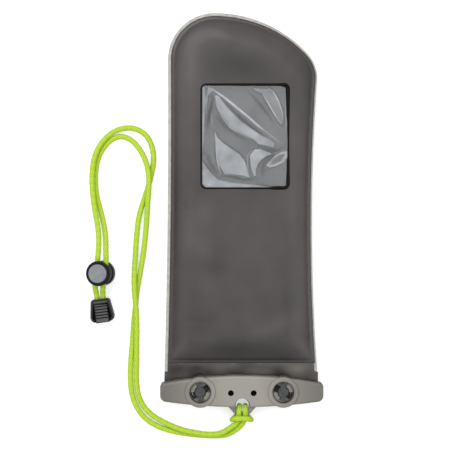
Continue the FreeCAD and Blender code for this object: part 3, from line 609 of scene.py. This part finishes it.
# Painted highlights and shade of the back film, in soft patches: pixel, size across and along in mm, angle,
# strength
PAINTED_LIGHT_PATCHES = [((221, 28), 8, 13, 20, 0.08), ((282, 40), 12, 26, 50, 0.12), ((187, 70), 14, 20, 0, 0.22),
           ((238, 66), 32, 12, -8, -0.19), ((262, 48), 11, 24, 62, 0.10), ((194, 236), 9, 18, 0, 0.14),
           ((206, 210), 8, 9, 30, 0.16), ((203, 250), 6, 7, 0, 0.10), ((218, 268), 8, 6, 0, -0.12),
           ((206, 283), 10, 9, -30, 0.12), ((262, 205), 24, 12, 0, 0.06), ((250, 240), 16, 22, 0, 0.10),
           ((242, 346), 34, 9, 8, -0.26), ((192, 348), 14, 9, 0, 0.04), ((196, 325), 12, 6, 10, -0.10),
           ((270, 328), 7, 26, -62, 0.14), ((292, 150), 4, 60, 0, 0.05), ((303, 240), 3.5, 80, 0, 0.10),
           ((309, 210), 3, 90, 0, -0.16), ((176, 200), 3, 110, 0, -0.14), ((300, 349), 9, 8, 0, 0.06),
           ((290, 356), 30, 6, 0, -0.10), ((290, 290), 9, 26, 0, -0.08), ((181, 130), 5, 50, 0, 0.08)]


def back_tone_and_painted_light(x, y, depth):
    """Return the back film's brightness, 0 to 1: painted highlights and shade, random unevenness and edge
    lines.
    """
    to_foot = y - BACK_END_Y
    tone_and_painted_light = 0.36 + patches(x, y, PAINTED_LIGHT_PATCHES, 1.35) + waves(x, y, TONE_WAVES)
    tone_and_painted_light -= 0.10 * ridge(depth, *WELD_LINE)
    # Painted shadow in the fold at the film's foot, then a painted highlight on the fold just below it
    tone_and_painted_light -= (0.35 + 0.25 * wave(x, y, 20, 2.9)) * ridge(to_foot, *FOLD_SHADOW_LINE)
    tone_and_painted_light += 0.55 * ridge(to_foot, *FOLD_HIGHLIGHT_LINE)
    return np.clip(tone_and_painted_light, 0, 1)


def add_thickness(obj, amount, offset=-1.0):
    """Give a sheet its thickness, in mm, below its normals."""
    made = obj.modifiers.new("thickness", "SOLIDIFY")
    made.thickness = amount * MM
    made.offset = offset
    made.use_rim = True


def outside_seam(obj, flat, seam, index):
    """Give the faces outside a seam another material slot."""
    middles = np.array([flat[list(face.vertices)].mean(axis=0) for face in obj.data.polygons])
    outer = ~inside(middles, seam)
    obj.data.polygons.foreach_set("material_index", np.where(outer, index, 0).astype(np.int32))


def back_outline(inset, end_y):
    """Return the back film's outline, which comes nearer to the rim on its right."""
    edge = outline(inset, end_y)
    edge[:, 0] += RIGHT_LEAD * np.clip(edge[:, 0] / 30, 0, 1)
    return edge


def make_back(mats):
    """Dark back film with its cut-out, weld margin and window bead."""
    x0, x1, y0, y1 = WINDOW
    hole = rounded_rectangle(x0 + BEAD, x1 - BEAD, y0 + BEAD, y1 - BEAD, WINDOW_CORNER - BEAD, BEAD_STEP)
    border = back_outline(PALE_RIM, BACK_END_Y)
    seam = back_outline(WELD, BACK_END_Y + WELD - PALE_RIM)
    edge = back_outline(PALE_RIM, FAR_FOOT_Y)
    obj, flat = film_mesh("pouch_back", border, BACK_SPACING, back_height, hole, edge)
    # Store the painted highlights and shade, with the random unevenness, on the back film
    give_value(obj, "tone_and_painted_light", back_tone_and_painted_light(flat[:, 0], flat[:, 1], distance_to(flat, border)))
    wear(obj, mats, "case_grey", "case_weld")
    outside_seam(obj, flat, seam, 1)
    add_thickness(obj, FILM)
    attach(obj, "case")
    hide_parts("back_panel")
    bead = make_bead(mats)
    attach(bead, "case")


# How wide the window's black weld is, at pixels round the window, against its usual width
BEAD_WIDTHS = [((200, 86), 0.7), ((215, 84), 1.0), ((245, 86), 1.15), ((275, 84), 1.2), ((288, 90), 1.9),
               ((289, 110), 1.6), ((289, 128), 1.0), ((288.5, 142), 0.6), ((288.5, 152), 0.6),
               ((289, 165), 1.3), ((288, 182), 1.7), ((280, 189), 1.7), ((262, 189.5), 0.8),
               ((235, 189.5), 0.6), ((207, 189), 0.7), ((200.5, 175), 0.7), ((200, 150), 0.65),
               ((200, 120), 0.7)]


def bead_width(x, y):
    """Return how wide the window's black weld is at a place, against its usual width."""
    total = weight = 0.0
    for pixel, width in BEAD_WIDTHS:
        px, py = pixel_to_mm(*pixel)
        near = 1 / (4 + (x - px) ** 2 + (y - py) ** 2) ** 2
        total += near * width
        weight += near
    return total / weight


def make_bead(mats):
    """Raised black weld round the camera window, wider in places."""
    x0, x1, y0, y1 = WINDOW
    middle = rounded_rectangle(x0 + BEAD / 2, x1 - BEAD / 2, y0 + BEAD / 2, y1 - BEAD / 2,
                               WINDOW_CORNER - BEAD / 2, BEAD_STEP)
    ahead, behind = np.roll(middle, -1, axis=0), np.roll(middle, 1, axis=0)
    way = ahead - behind
    way /= np.hypot(*way.T)[:, None]
    out = np.column_stack([way[:, 1], -way[:, 0]])
    profile = [(-0.85, -0.75), (-0.8, 0.12), (-0.5, 0.42), (0.0, 0.5), (0.5, 0.42), (0.8, 0.1),
               (0.85, -0.75)]
    points, faces = [], []
    for p, n in zip(middle, out):
        top = back_height(p[:1], p[1:], np.array([MIDDLE_DEPTH]))[0]
        swell = bead_width(*p) * (1 + 0.1 * noise.noise(Vector((p[0] / 9, p[1] / 9, 4.4))))
        for across, up in profile:
            reach = across * swell - 0.35 * (swell - 1)
            points.append((p[0] + n[0] * reach, p[1] + n[1] * reach, top + up))
    count, size = len(middle), len(profile)
    for i in range(count):
        j = (i + 1) % count
        for k in range(size):
            m = (k + 1) % size
            faces.append((i * size + k, j * size + k, j * size + m, i * size + m))
    obj = new_object("window_bead", np.array(points) * MM, faces)
    smooth(obj)
    wear(obj, mats, "window_bead")
    return obj


# Facets of the slack window film with a painted reflection: outline in pixels, strength, rise in mm
FACETS = [
    ([(214.6, 95.5), (219.2, 97), (224.7, 104.8), (232.5, 113.4), (241.8, 121.9), (251.1, 128.9),
      (260.5, 135.1), (269.8, 139.8), (274.5, 143.7), (273.7, 148), (266.7, 146.4), (258.1, 144.5),
      (254.3, 140.6), (246.5, 135.9), (237.9, 132), (230.9, 127.4), (223.1, 118), (216.9, 108.7)],
     0.55, 0.9),
    ([(214.9, 132), (217.7, 138.3), (224.7, 144.5), (232.5, 149.9), (239.5, 154.6), (244.9, 161.6),
      (246.5, 167.8), (249.6, 177.9), (241.8, 175.6), (230.9, 174.4), (224.7, 174.8), (221.6, 169.4),
      (217.7, 163.2), (215.7, 149.9)], 0.62, 0.8),
    ([(253.5, 88.8), (262, 89.2), (269.8, 89.2), (274.5, 93.9), (278.4, 101.7), (281.5, 110.2),
      (282.7, 119.6), (282.3, 125.8), (278.4, 122.7), (272.9, 113.4), (266.7, 103.2), (262, 94.7),
      (254.3, 90.8)], 0.4, 0.7),
    ([(253.5, 176.4), (250.4, 165.5), (249.6, 156.2), (254.3, 149.9), (260.5, 149.2), (269.8, 153),
      (272.1, 154.6), (266.7, 156.2), (261.3, 160), (258.1, 163.9), (255.8, 169.4), (255.8, 176.4)],
     0.6, 0.6),
    ([(266.7, 165.5), (270.3, 160), (275.5, 155), (282, 152), (287.8, 151), (287.6, 157), (283, 162),
      (276, 165.4), (269.5, 167.2)], 0.6, 0.5),
    ([(201.3, 160), (206, 166.3), (211.5, 173.3), (217.7, 179.5), (223.1, 181.1), (230.9, 182.6),
      (246.5, 184.2), (255.8, 185), (273.7, 188), (269.8, 189.4), (238.7, 189.6), (207.6, 188.9),
      (202.1, 183.4)], 0.5, 0.4),
    ([(201.5, 88), (205, 87), (206.2, 100), (204.6, 120), (204, 140), (202, 155), (201, 150),
      (201.4, 110)], 0.45, 0.4),
    ([(208, 88), (215, 90), (212, 93), (208, 96), (207, 108), (206, 118), (205.6, 100)], 0.5, 0.5),
]
# Painted glints in lines on it: line in pixels, half width in mm, strength, rise in mm
STREAKS = [
    ([(205.6, 87), (212, 89.5), (223.1, 97), (230.9, 103.2), (240.3, 111), (248, 117.3), (255.8, 124.3),
      (263.6, 130.5), (269.8, 135.9)], 0.85, 0.95, 0.5),
    ([(260.5, 91.6), (266.7, 101.7), (274.5, 114.9), (281.5, 125.8)], 0.4, 0.9, 0.3),
    ([(266.7, 87.7), (272.9, 91.6), (278.4, 101.7), (282.3, 113.4), (282.7, 122.7)], 0.4, 0.9, 0.3),
    ([(284.6, 101.7), (285.8, 114.9), (285.8, 133.6)], 0.35, 0.7, 0.2),
    ([(215.3, 134), (216.1, 145), (216.9, 160), (221.6, 177.2)], 0.45, 0.75, 0.3),
    ([(211.4, 107), (211.8, 118), (212.2, 130)], 0.5, 0.35, 0.2),
    ([(201.9, 90), (203.4, 112), (202.8, 140), (201.7, 158), (203, 168), (208, 178)], 0.5, 0.6, 0.2),
    ([(249.8, 178), (247.4, 168), (247.8, 156), (252.8, 149)], 0.4, 0.5, 0.2),
    ([(252.6, 175), (250.9, 165), (250.6, 157), (254, 151.2), (260, 150.2), (267, 153)], 0.4, 0.8, 0.2),
    ([(216.4, 107), (222.6, 118.6), (230.4, 128.2), (238, 132.9), (246.6, 136.8), (254.4, 141.6)],
      0.35, 0.75, 0.2),
    ([(262, 129), (272, 137), (281, 144)], 0.35, 0.6, 0.2),
    ([(205, 183), (211, 186), (206, 180)], 0.4, 0.7, 0.2),
    ([(287.4, 157), (283, 162), (276, 165.4), (269.5, 167.2), (266.8, 165.5), (270.3, 160)],
      0.5, 0.85, 0.3),
    ([(236, 88), (246, 98), (258, 108), (268, 118), (277, 129)], 0.5, 0.22, 0.35),
    ([(204, 182), (212, 186.5), (226, 188.6), (250, 189)], 0.5, 0.5, 0.2),
]
# Painted shade down the film's folds: line in pixels, half width in mm, strength; and the outline of a spot
# in the fifth facet where its painted reflection fades
WINDOW_FOLD_SHADES = [([(207.5, 94), (211, 95), (213, 100), (209, 116), (207, 130)], 1.6, 1.0),
           ([(219, 95), (228, 106), (240, 118), (252, 128), (264, 137), (273, 141)], 1.5, 0.8),
           ([(215, 112), (224, 126), (236, 135), (250, 141)], 2.0, 0.6),
           ([(244, 88), (256, 100), (268, 115), (278, 130)], 1.2, 0.5),
           ([(222, 176), (232, 177), (244, 180), (252, 179), (256, 178)], 1.3, 0.8),
           ([(255, 146), (266, 150), (276, 151), (284, 147), (286, 141)], 1.5, 0.7),
           ([(251, 172), (250, 162), (252, 154)], 0.8, 0.7),
           ([(262, 178), (263, 166), (268, 158), (275, 153)], 1.8, 0.6),
           ([(205, 150), (210, 163), (218, 176)], 1.6, 0.6)]
FACET_DIM_MIDDLE = [(270.6, 164.4), (273.8, 159), (278.5, 155.6), (283.5, 153.6), (284.6, 155.5), (281, 160.6),
          (275.5, 163.4)]


def facet(x, y, pixels, soft):
    """Return 1 inside an outline given in pixels, fading to 0 over soft mm at its edge."""
    shape = on_part(pixels)
    at = np.column_stack([x, y])
    gap = distance_to(at, shape)
    signed = np.where(inside(at, shape), gap, -gap)
    return np.clip(signed / soft + 0.5, 0, 1)


def window_painted_shine(x, y):
    """Return the painted reflection on the window's film, 0 to 1: how strongly each place is made to gleam.
    """
    painted_shine = np.zeros(len(x))
    for pixels, strength, _ in FACETS:
        body = strength * facet(x, y, pixels, 0.9) * (0.8 + waves(x, y, SHINE_WAVES))
        painted_shine = np.maximum(painted_shine, body)
    painted_shine *= 1 - 0.8 * facet(x, y, FACET_DIM_MIDDLE, 0.6)
    for pixels, width, strength, _ in STREAKS:
        painted_shine = np.maximum(painted_shine, strength * crease(x, y, pixels, width))
    return np.clip(painted_shine * (1 + 0.25 * wave(x, y, 6, 9.3)), 0, 1)


def window_painted_shade(x, y):
    """Return the painted shade of the window's folds, 0 to 1: beside the facets and down the dark folds."""
    at = np.column_stack([x, y])
    shade = np.zeros(len(x))
    for pixels, *_ in FACETS:
        shape = on_part(pixels)
        gap = np.where(inside(at, shape), 9.0, distance_to(at, shape))
        shade = np.maximum(shade, (0.35 + 0.6 * wave(x, y, 17, 6.7)) * ridge(gap, 0, 1.5))
    for pixels, width, strength in WINDOW_FOLD_SHADES:
        shade = np.maximum(shade, strength * crease(x, y, pixels, width))
    shade += waves(x, y, SHADE_WAVES)
    return np.clip(shade, 0, 1)


def window_height(x, y, depth):
    """Return the clear window's height, in mm: a slack film with sharp creases round its facets."""
    z = np.full(len(x), RIM_Z + BULGE - 0.05)
    free = np.clip(depth / 5, 0, 1) ** 0.8
    for pixels, _, rise in FACETS:
        z += free * rise * facet(x, y, pixels, 4.0)
    for pixels, width, _, rise in STREAKS:
        z += free * rise * crease(x, y, pixels, width * 1.6)
    z += free * waves(x, y, WINDOW_WAVES)
    return z


def make_window(mats):
    """Clear, wrinkled camera window."""
    x0, x1, y0, y1 = WINDOW
    lap = WINDOW_LAP
    border = rounded_rectangle(x0 - lap, x1 + lap, y0 - lap, y1 + lap, WINDOW_CORNER, WINDOW_STEP)
    obj, flat = film_mesh("camera_window_film", border, WINDOW_SPACING, window_height)
    # The window film's painted reflections and painted shade
    give_value(obj, "painted_shine", window_painted_shine(flat[:, 0], flat[:, 1]))
    give_value(obj, "shade", window_painted_shade(flat[:, 0], flat[:, 1]))
    wear(obj, mats, "window_film")
    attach(obj, "case")
    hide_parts("camera_window")


def front_height(x, y, depth):
    """Return the clear front film's level, in mm, which bulges down to the surface it lies on."""
    to_foot = y - BACK_END_Y + FOOT_LEAD
    rise = pouch_rise(depth) * pouch_rise(to_foot)
    z = RIM_Z - FILM / 2 - (BULGE - FRONT_INSIDE) * rise
    loose = np.clip((np.minimum(depth, to_foot) - WELD) / LOOSE_REACH, 0, 1)
    z += loose * np.maximum(waves(x, y, FRONT_WAVES), 0)
    z += 0.12 * ridge(depth, *RIM_LINE)
    return z


def make_front(mats):
    """Clear front film with its pale weld margin."""
    border = outline(0, FRONT_END_Y)
    seam = outline(WELD + 0.6, BACK_END_Y + 1)
    obj, flat = film_mesh("pouch_front", border, FRONT_SPACING, front_height, edge=outline(0, FAR_FOOT_Y),
                          seam=seam)
    wear(obj, mats, "front_film", "pale_weld")
    outside_seam(obj, flat, seam, 1)
    add_thickness(obj, FILM, 0.0)
    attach(obj, "case")
    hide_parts("front_panel")


# Mouth

# Painted highlights and shade of the strip, in soft patches, as those of the back film
LIP_PAINTED_LIGHT_PATCHES = [((172, 370), 6, 8, 0, -0.2), ((200, 373), 9, 5, 0, -0.45), ((215, 368), 12, 3, 0, 0.12),
               ((240, 370), 16, 5, 0, -0.34), ((229, 366), 9, 3, 0, 0.20), ((256, 371), 12, 3, -8, 0.25),
               ((281, 373), 8, 4, 0, -0.45), ((296, 369), 9, 4, 10, 0.35), ((311, 374), 5, 5, 0, -0.1),
               ((185, 369), 12, 5, 0, -0.12), ((295, 369), 12, 4, 0, 0.12)]


def side_x(y):
    """Return the pouch's left and right sides at a level."""
    left = SIDE_LEFT_X - SIDE_LEFT_R + math.sqrt(SIDE_LEFT_R ** 2 - (y - SIDE_LEFT_WAIST_Y) ** 2)
    right = SIDE_RIGHT_X + SIDE_RIGHT_R - math.sqrt(SIDE_RIGHT_R ** 2 - (y - SIDE_RIGHT_WAIST_Y) ** 2)
    return left, right


def bar_edge(x):
    """Return the level in Y of the clamp's edge, with its bosses."""
    bar = BAR_MID_Y + (BAR_END_Y - BAR_MID_Y) * (x / BAR_HALF) ** 2
    boss = BOSS[1] + np.sqrt(np.maximum(BOSS_RADIUS ** 2 - (np.abs(x) - BOSS[0]) ** 2, 0))
    return np.maximum(bar, boss)


def lip_height(x, y, depth):
    """Return the mouth strip's level, in mm: puckered above the clamp, low under it."""
    over = y - bar_edge(x)
    free = np.clip((over - 0.3) / 2.5, 0, 1) * np.clip(depth / 2, 0, 1)
    bare = np.clip(over / 0.3, 0, 1)
    return RIM_Z + FILM - 0.45 + 0.5 * bare + free * np.maximum(0.25 + 0.6 * wave(x, y * 0.5, 8, 6.6), 0)


def lip_tone_and_painted_light(x, y):
    """Return the mouth strip's brightness, 0 to 1: random unevenness with painted highlights and shade."""
    tone_and_painted_light = 0.30 + 0.12 * wave(x, y * 0.6, 9, 8.1) + patches(x, y, LIP_PAINTED_LIGHT_PATCHES)
    return np.clip(tone_and_painted_light, 0, 1)


def make_lip(mats):
    """Puckered face of the strip at the pouch's mouth, over the solid strip."""
    levels = [(BACK_END_Y, PALE_RIM), (FRONT_END_Y, PALE_RIM), (FRONT_END_Y, 0), (STRIP_END_Y, 0)]
    corners = [(side_x(y)[1] - inset, y) for y, inset in levels]
    corners += [(side_x(y)[0] + inset, y) for y, inset in reversed(levels)]
    border = []
    for (ax, ay), (bx, by) in zip(corners, corners[1:] + corners[:1]):
        count = max(1, int(math.hypot(bx - ax, by - ay)))
        border += [(ax + (bx - ax) * i / count, ay + (by - ay) * i / count) for i in range(count)]
    obj, flat = film_mesh("mouth_strip", np.array(border), STRIP_SPACING, lip_height)
    give_value(obj, "tone_and_painted_light", lip_tone_and_painted_light(flat[:, 0], flat[:, 1]))
    wear(obj, mats, "lip_strip")
    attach(obj, "case")


# Neck cord

def cord_route():
    """Return points read along the cord's smooth line."""
    curve = bpy.data.curves.new("cord_line", "CURVE")
    curve.dimensions = "3D"
    curve.resolution_u = 10
    spline = curve.splines.new("NURBS")
    spline.points.add(len(CORD_POINTS) - 1)
    for point, place in zip(spline.points, CORD_POINTS):
        point.co = (*[value * MM for value in place], 1)
    spline.order_u = 3
    spline.use_endpoint_u = True
    holder = bpy.data.objects.new("cord_line", curve)
    bpy.context.scene.collection.objects.link(holder)
    bpy.context.view_layer.update()
    mesh = bpy.data.meshes.new_from_object(holder)
    points = np.array([tuple(v.co) for v in mesh.vertices])
    bpy.data.objects.remove(holder)
    bpy.data.meshes.remove(mesh)
    return points


def even_points(points, step):
    """Return points evenly spaced along a line."""
    gaps = np.linalg.norm(np.diff(points, axis=0), axis=1)
    along = np.concatenate([[0], np.cumsum(gaps)])
    count = int(along[-1] / step)
    wanted = np.linspace(0, along[-1], count + 1)
    return np.column_stack([np.interp(wanted, along, points[:, k]) for k in range(3)]), along[-1]


def make_cord(mats):
    """Braided neck cord as one tube that follows its smooth line."""
    line, length = even_points(cord_route(), 0.75 * MM)
    around = 24
    radius = CORD_DIAMETER / 2 * MM
    relief = 0.13 * MM
    pitch = 7.0 * MM
    carriers = 8
    way = np.gradient(line, axis=0)
    way /= np.linalg.norm(way, axis=1)[:, None]
    side = np.cross(way[0], (0, 0, 1))
    side /= np.linalg.norm(side)
    sides = []
    for w in way:
        side = side - w * (side @ w)
        side = side / np.linalg.norm(side)
        sides.append(side)
    sides = np.array(sides)
    ups = np.cross(way, sides)
    angle = 2 * math.pi * np.arange(around) / around
    along = np.arange(len(line)) * length / (len(line) - 1)
    turn = 2 * math.pi * along / pitch
    first = carriers / 2 * (angle[None, :] + turn[:, None])
    second = carriers / 2 * (angle[None, :] - turn[:, None])
    crown = np.abs(np.cos(first) * np.cos(second)) ** 0.7
    reach = radius - relief / 2 + relief * crown
    points = (line[:, None, :] + reach[:, :, None] * (np.cos(angle)[None, :, None] * sides[:, None, :]
                                                      + np.sin(angle)[None, :, None] * ups[:, None, :]))
    faces = []
    for i in range(len(line) - 1):
        for k in range(around):
            m = (k + 1) % around
            faces.append((i * around + k, i * around + m, (i + 1) * around + m, (i + 1) * around + k))
    faces.append(tuple(range(around)))
    faces.append(tuple(reversed(range((len(line) - 1) * around, len(line) * around))))
    obj = new_object("neck_cord_braid", points.reshape(-1, 3), faces)
    give_value(obj, "crown", crown)
    smooth(obj)
    wear(obj, mats, "cord")
    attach(obj, "case")
    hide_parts("neck_cord")


# Solids that keep their own shape

def add_end_rib(mats):
    """Rib on the cord end's bridge, in line with the cover's ribs."""
    half, near, far, edge = 5.0, -1.75, -3.05, 0.3
    foot = [(-half, far), (half, far), (half, near), (-half, near)]
    top = [(-half + edge, far + edge), (half - edge, far + edge), (half - edge, near - edge),
           (-half + edge, near - edge)]
    levels = [(foot, END_TOP_Z - 0.3), (foot, END_RIB_Z - edge), (top, END_RIB_Z)]
    turn = math.radians(END_TURN)
    points = []
    for ring, z in levels:
        for x, y in ring:
            points.append((END_PLACE[0] + x * math.cos(turn) - y * math.sin(turn),
                           END_PLACE[1] + x * math.sin(turn) + y * math.cos(turn), z))
    faces = [(3, 2, 1, 0), (8, 9, 10, 11)]
    for low in (0, 4):
        faces += [(low + k, low + (k + 1) % 4, low + 4 + (k + 1) % 4, low + 4 + k) for k in range(4)]
    obj = new_object("cord_end_rib", np.array(points) * MM, faces)
    wear(obj, mats, "rib_grey_and_sheen")
    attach(obj, "case")


def dress(mats):
    """Give the CAD nodes that stay their materials and smooth shading."""
    finish = {"mouth_lip_back": "lip", "mouth_lip_front": "lip", "clamp_front_bar": "clamp",
              "clamp_back_bar": "clamp", "lever_left": "lever", "lever_right": "lever",
              "snap_ring_left": "lever", "snap_ring_right": "lever", "lock_barrel": "lock_black",
              "lock_plunger": "lock_grey", "lock_spring": "steel", "cord_end_base": "clip_grey",
              "cord_end_cover": "clip_grey", "cord_knot": "cord"}
    for name, look in finish.items():
        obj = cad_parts[name]
        obj.data.materials.clear()
        wear(obj, mats, look)
        smooth(obj)
        obj.data.set_sharp_from_angle(angle=math.radians(35))
    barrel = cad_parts["lock_barrel"]
    wear(barrel, mats, "rib_grey_and_sheen")
    inward, foot = Vector(LOCK_AXIS), Vector(LOCK_FOOT)
    # The lower flange's upward sloping faces get the lighter grey: a painted sheen
    for face in barrel.data.polygons:
        level = (foot - face.center).dot(inward)
        slope = -face.normal.dot(inward)
        if FLANGE_SLOPES[0] < slope < FLANGE_SLOPES[1] and level < FLANGE_TOP:
            face.material_index = 1
    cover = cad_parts["cord_end_cover"]
    wear(cover, mats, "lock_black", "rib_grey_and_sheen")
    for face in cover.data.polygons:
        face.material_index = 2 if face.center.z > COVER_RIB_Z * MM else 1
    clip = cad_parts["cord_end_base"]
    wear(clip, mats, "lock_black", "rib_grey_and_sheen")
    # The clip's upward sloping shoulder faces get the lighter grey as a painted sheen; its flat top stays
    # black
    for face in clip.data.polygons:
        flat_top = face.center.z > CLIP_TOP_Z * MM
        edge = CLIP_SHOULDER_Z * MM < face.center.z and not flat_top and face.normal.z > 0.2
        face.material_index = 2 if edge else 0 if flat_top else 1
    add_end_rib(mats)
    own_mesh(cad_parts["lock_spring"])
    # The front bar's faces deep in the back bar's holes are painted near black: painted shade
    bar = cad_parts["clamp_front_bar"]
    wear(bar, mats, "painted_hole_shade")
    for face in bar.data.polygons:
        if face.center.z > BAR_HOLE_Z * MM:
            face.material_index = 1


# Stage

def make_stage():
    """Pale floor that is see-through from below, soft lights, and a camera straight above the case."""
    bpy.ops.mesh.primitive_plane_add(size=FLOOR_SIDE, location=(0, 0, FLOOR_Z * MM))
    floor = bpy.context.object
    floor.name = "floor"
    mat = material("floor", (0.62, 0.62, 0.62), 0.9, Specular_IOR_Level=0.0)
    glow = node(mat, "ShaderNodeEmission")
    path = node(mat, "ShaderNodeLightPath")
    seen = node(mat, "ShaderNodeMath", operation="MAXIMUM")
    amount = node(mat, "ShaderNodeMath", operation="MULTIPLY")
    amount.inputs[1].default_value = FLOOR_GLOW
    add = node(mat, "ShaderNodeAddShader")
    side = node(mat, "ShaderNodeNewGeometry")
    below = node(mat, "ShaderNodeBsdfTransparent")
    mix = node(mat, "ShaderNodeMixShader")
    link(mat, path.outputs["Is Camera Ray"], seen.inputs[0])
    link(mat, path.outputs["Is Transmission Ray"], seen.inputs[1])
    link(mat, seen.outputs["Value"], amount.inputs[0])
    link(mat, amount.outputs["Value"], glow.inputs["Strength"])
    link(mat, glow.outputs["Emission"], add.inputs[0])
    link(mat, principled(mat).outputs["BSDF"], add.inputs[1])
    link(mat, side.outputs["Backfacing"], mix.inputs["Fac"])
    link(mat, add.outputs["Shader"], mix.inputs[1])
    link(mat, below.outputs["BSDF"], mix.inputs[2])
    link(mat, mix.outputs["Shader"], mat.node_tree.nodes["Material Output"].inputs["Surface"])
    floor.data.materials.append(mat)

    world = bpy.data.worlds.new("studio")
    bpy.context.scene.world = world
    world.use_nodes = True
    world.node_tree.nodes["Background"].inputs["Color"].default_value = (1, 1, 1, 1)
    world.node_tree.nodes["Background"].inputs["Strength"].default_value = SKY_GLOW

    for name, place, size, power in LAMPS:
        light = bpy.data.lights.new(name, "AREA")
        light.shape = "SQUARE"
        light.size = size
        light.energy = power
        lamp = bpy.data.objects.new(name, light)
        lamp.location = place
        lamp.rotation_euler = (-Vector(place)).to_track_quat("-Z", "Y").to_euler()
        bpy.context.scene.collection.objects.link(lamp)

    data = bpy.data.cameras.new("camera")
    data.lens = LENS
    data.sensor_width = SENSOR
    camera = bpy.data.objects.new("camera", data)
    x, y = pixel_to_mm(PHOTO_SIDE / 2, PHOTO_SIDE / 2)
    width = PHOTO_SIDE * PIXEL
    camera.location = (x * MM, y * MM, (FOCUS_LEVEL + width * LENS / SENSOR) * MM)
    bpy.context.scene.collection.objects.link(camera)
    bpy.context.scene.camera = camera
    bpy.context.scene.view_settings.view_transform = "Standard"


def main():
    """Build the stage and every piece."""
    mats = make_materials()
    make_stage()
    make_front(mats)
    make_window(mats)
    make_back(mats)
    make_lip(mats)
    make_cord(mats)
    dress(mats)


main()
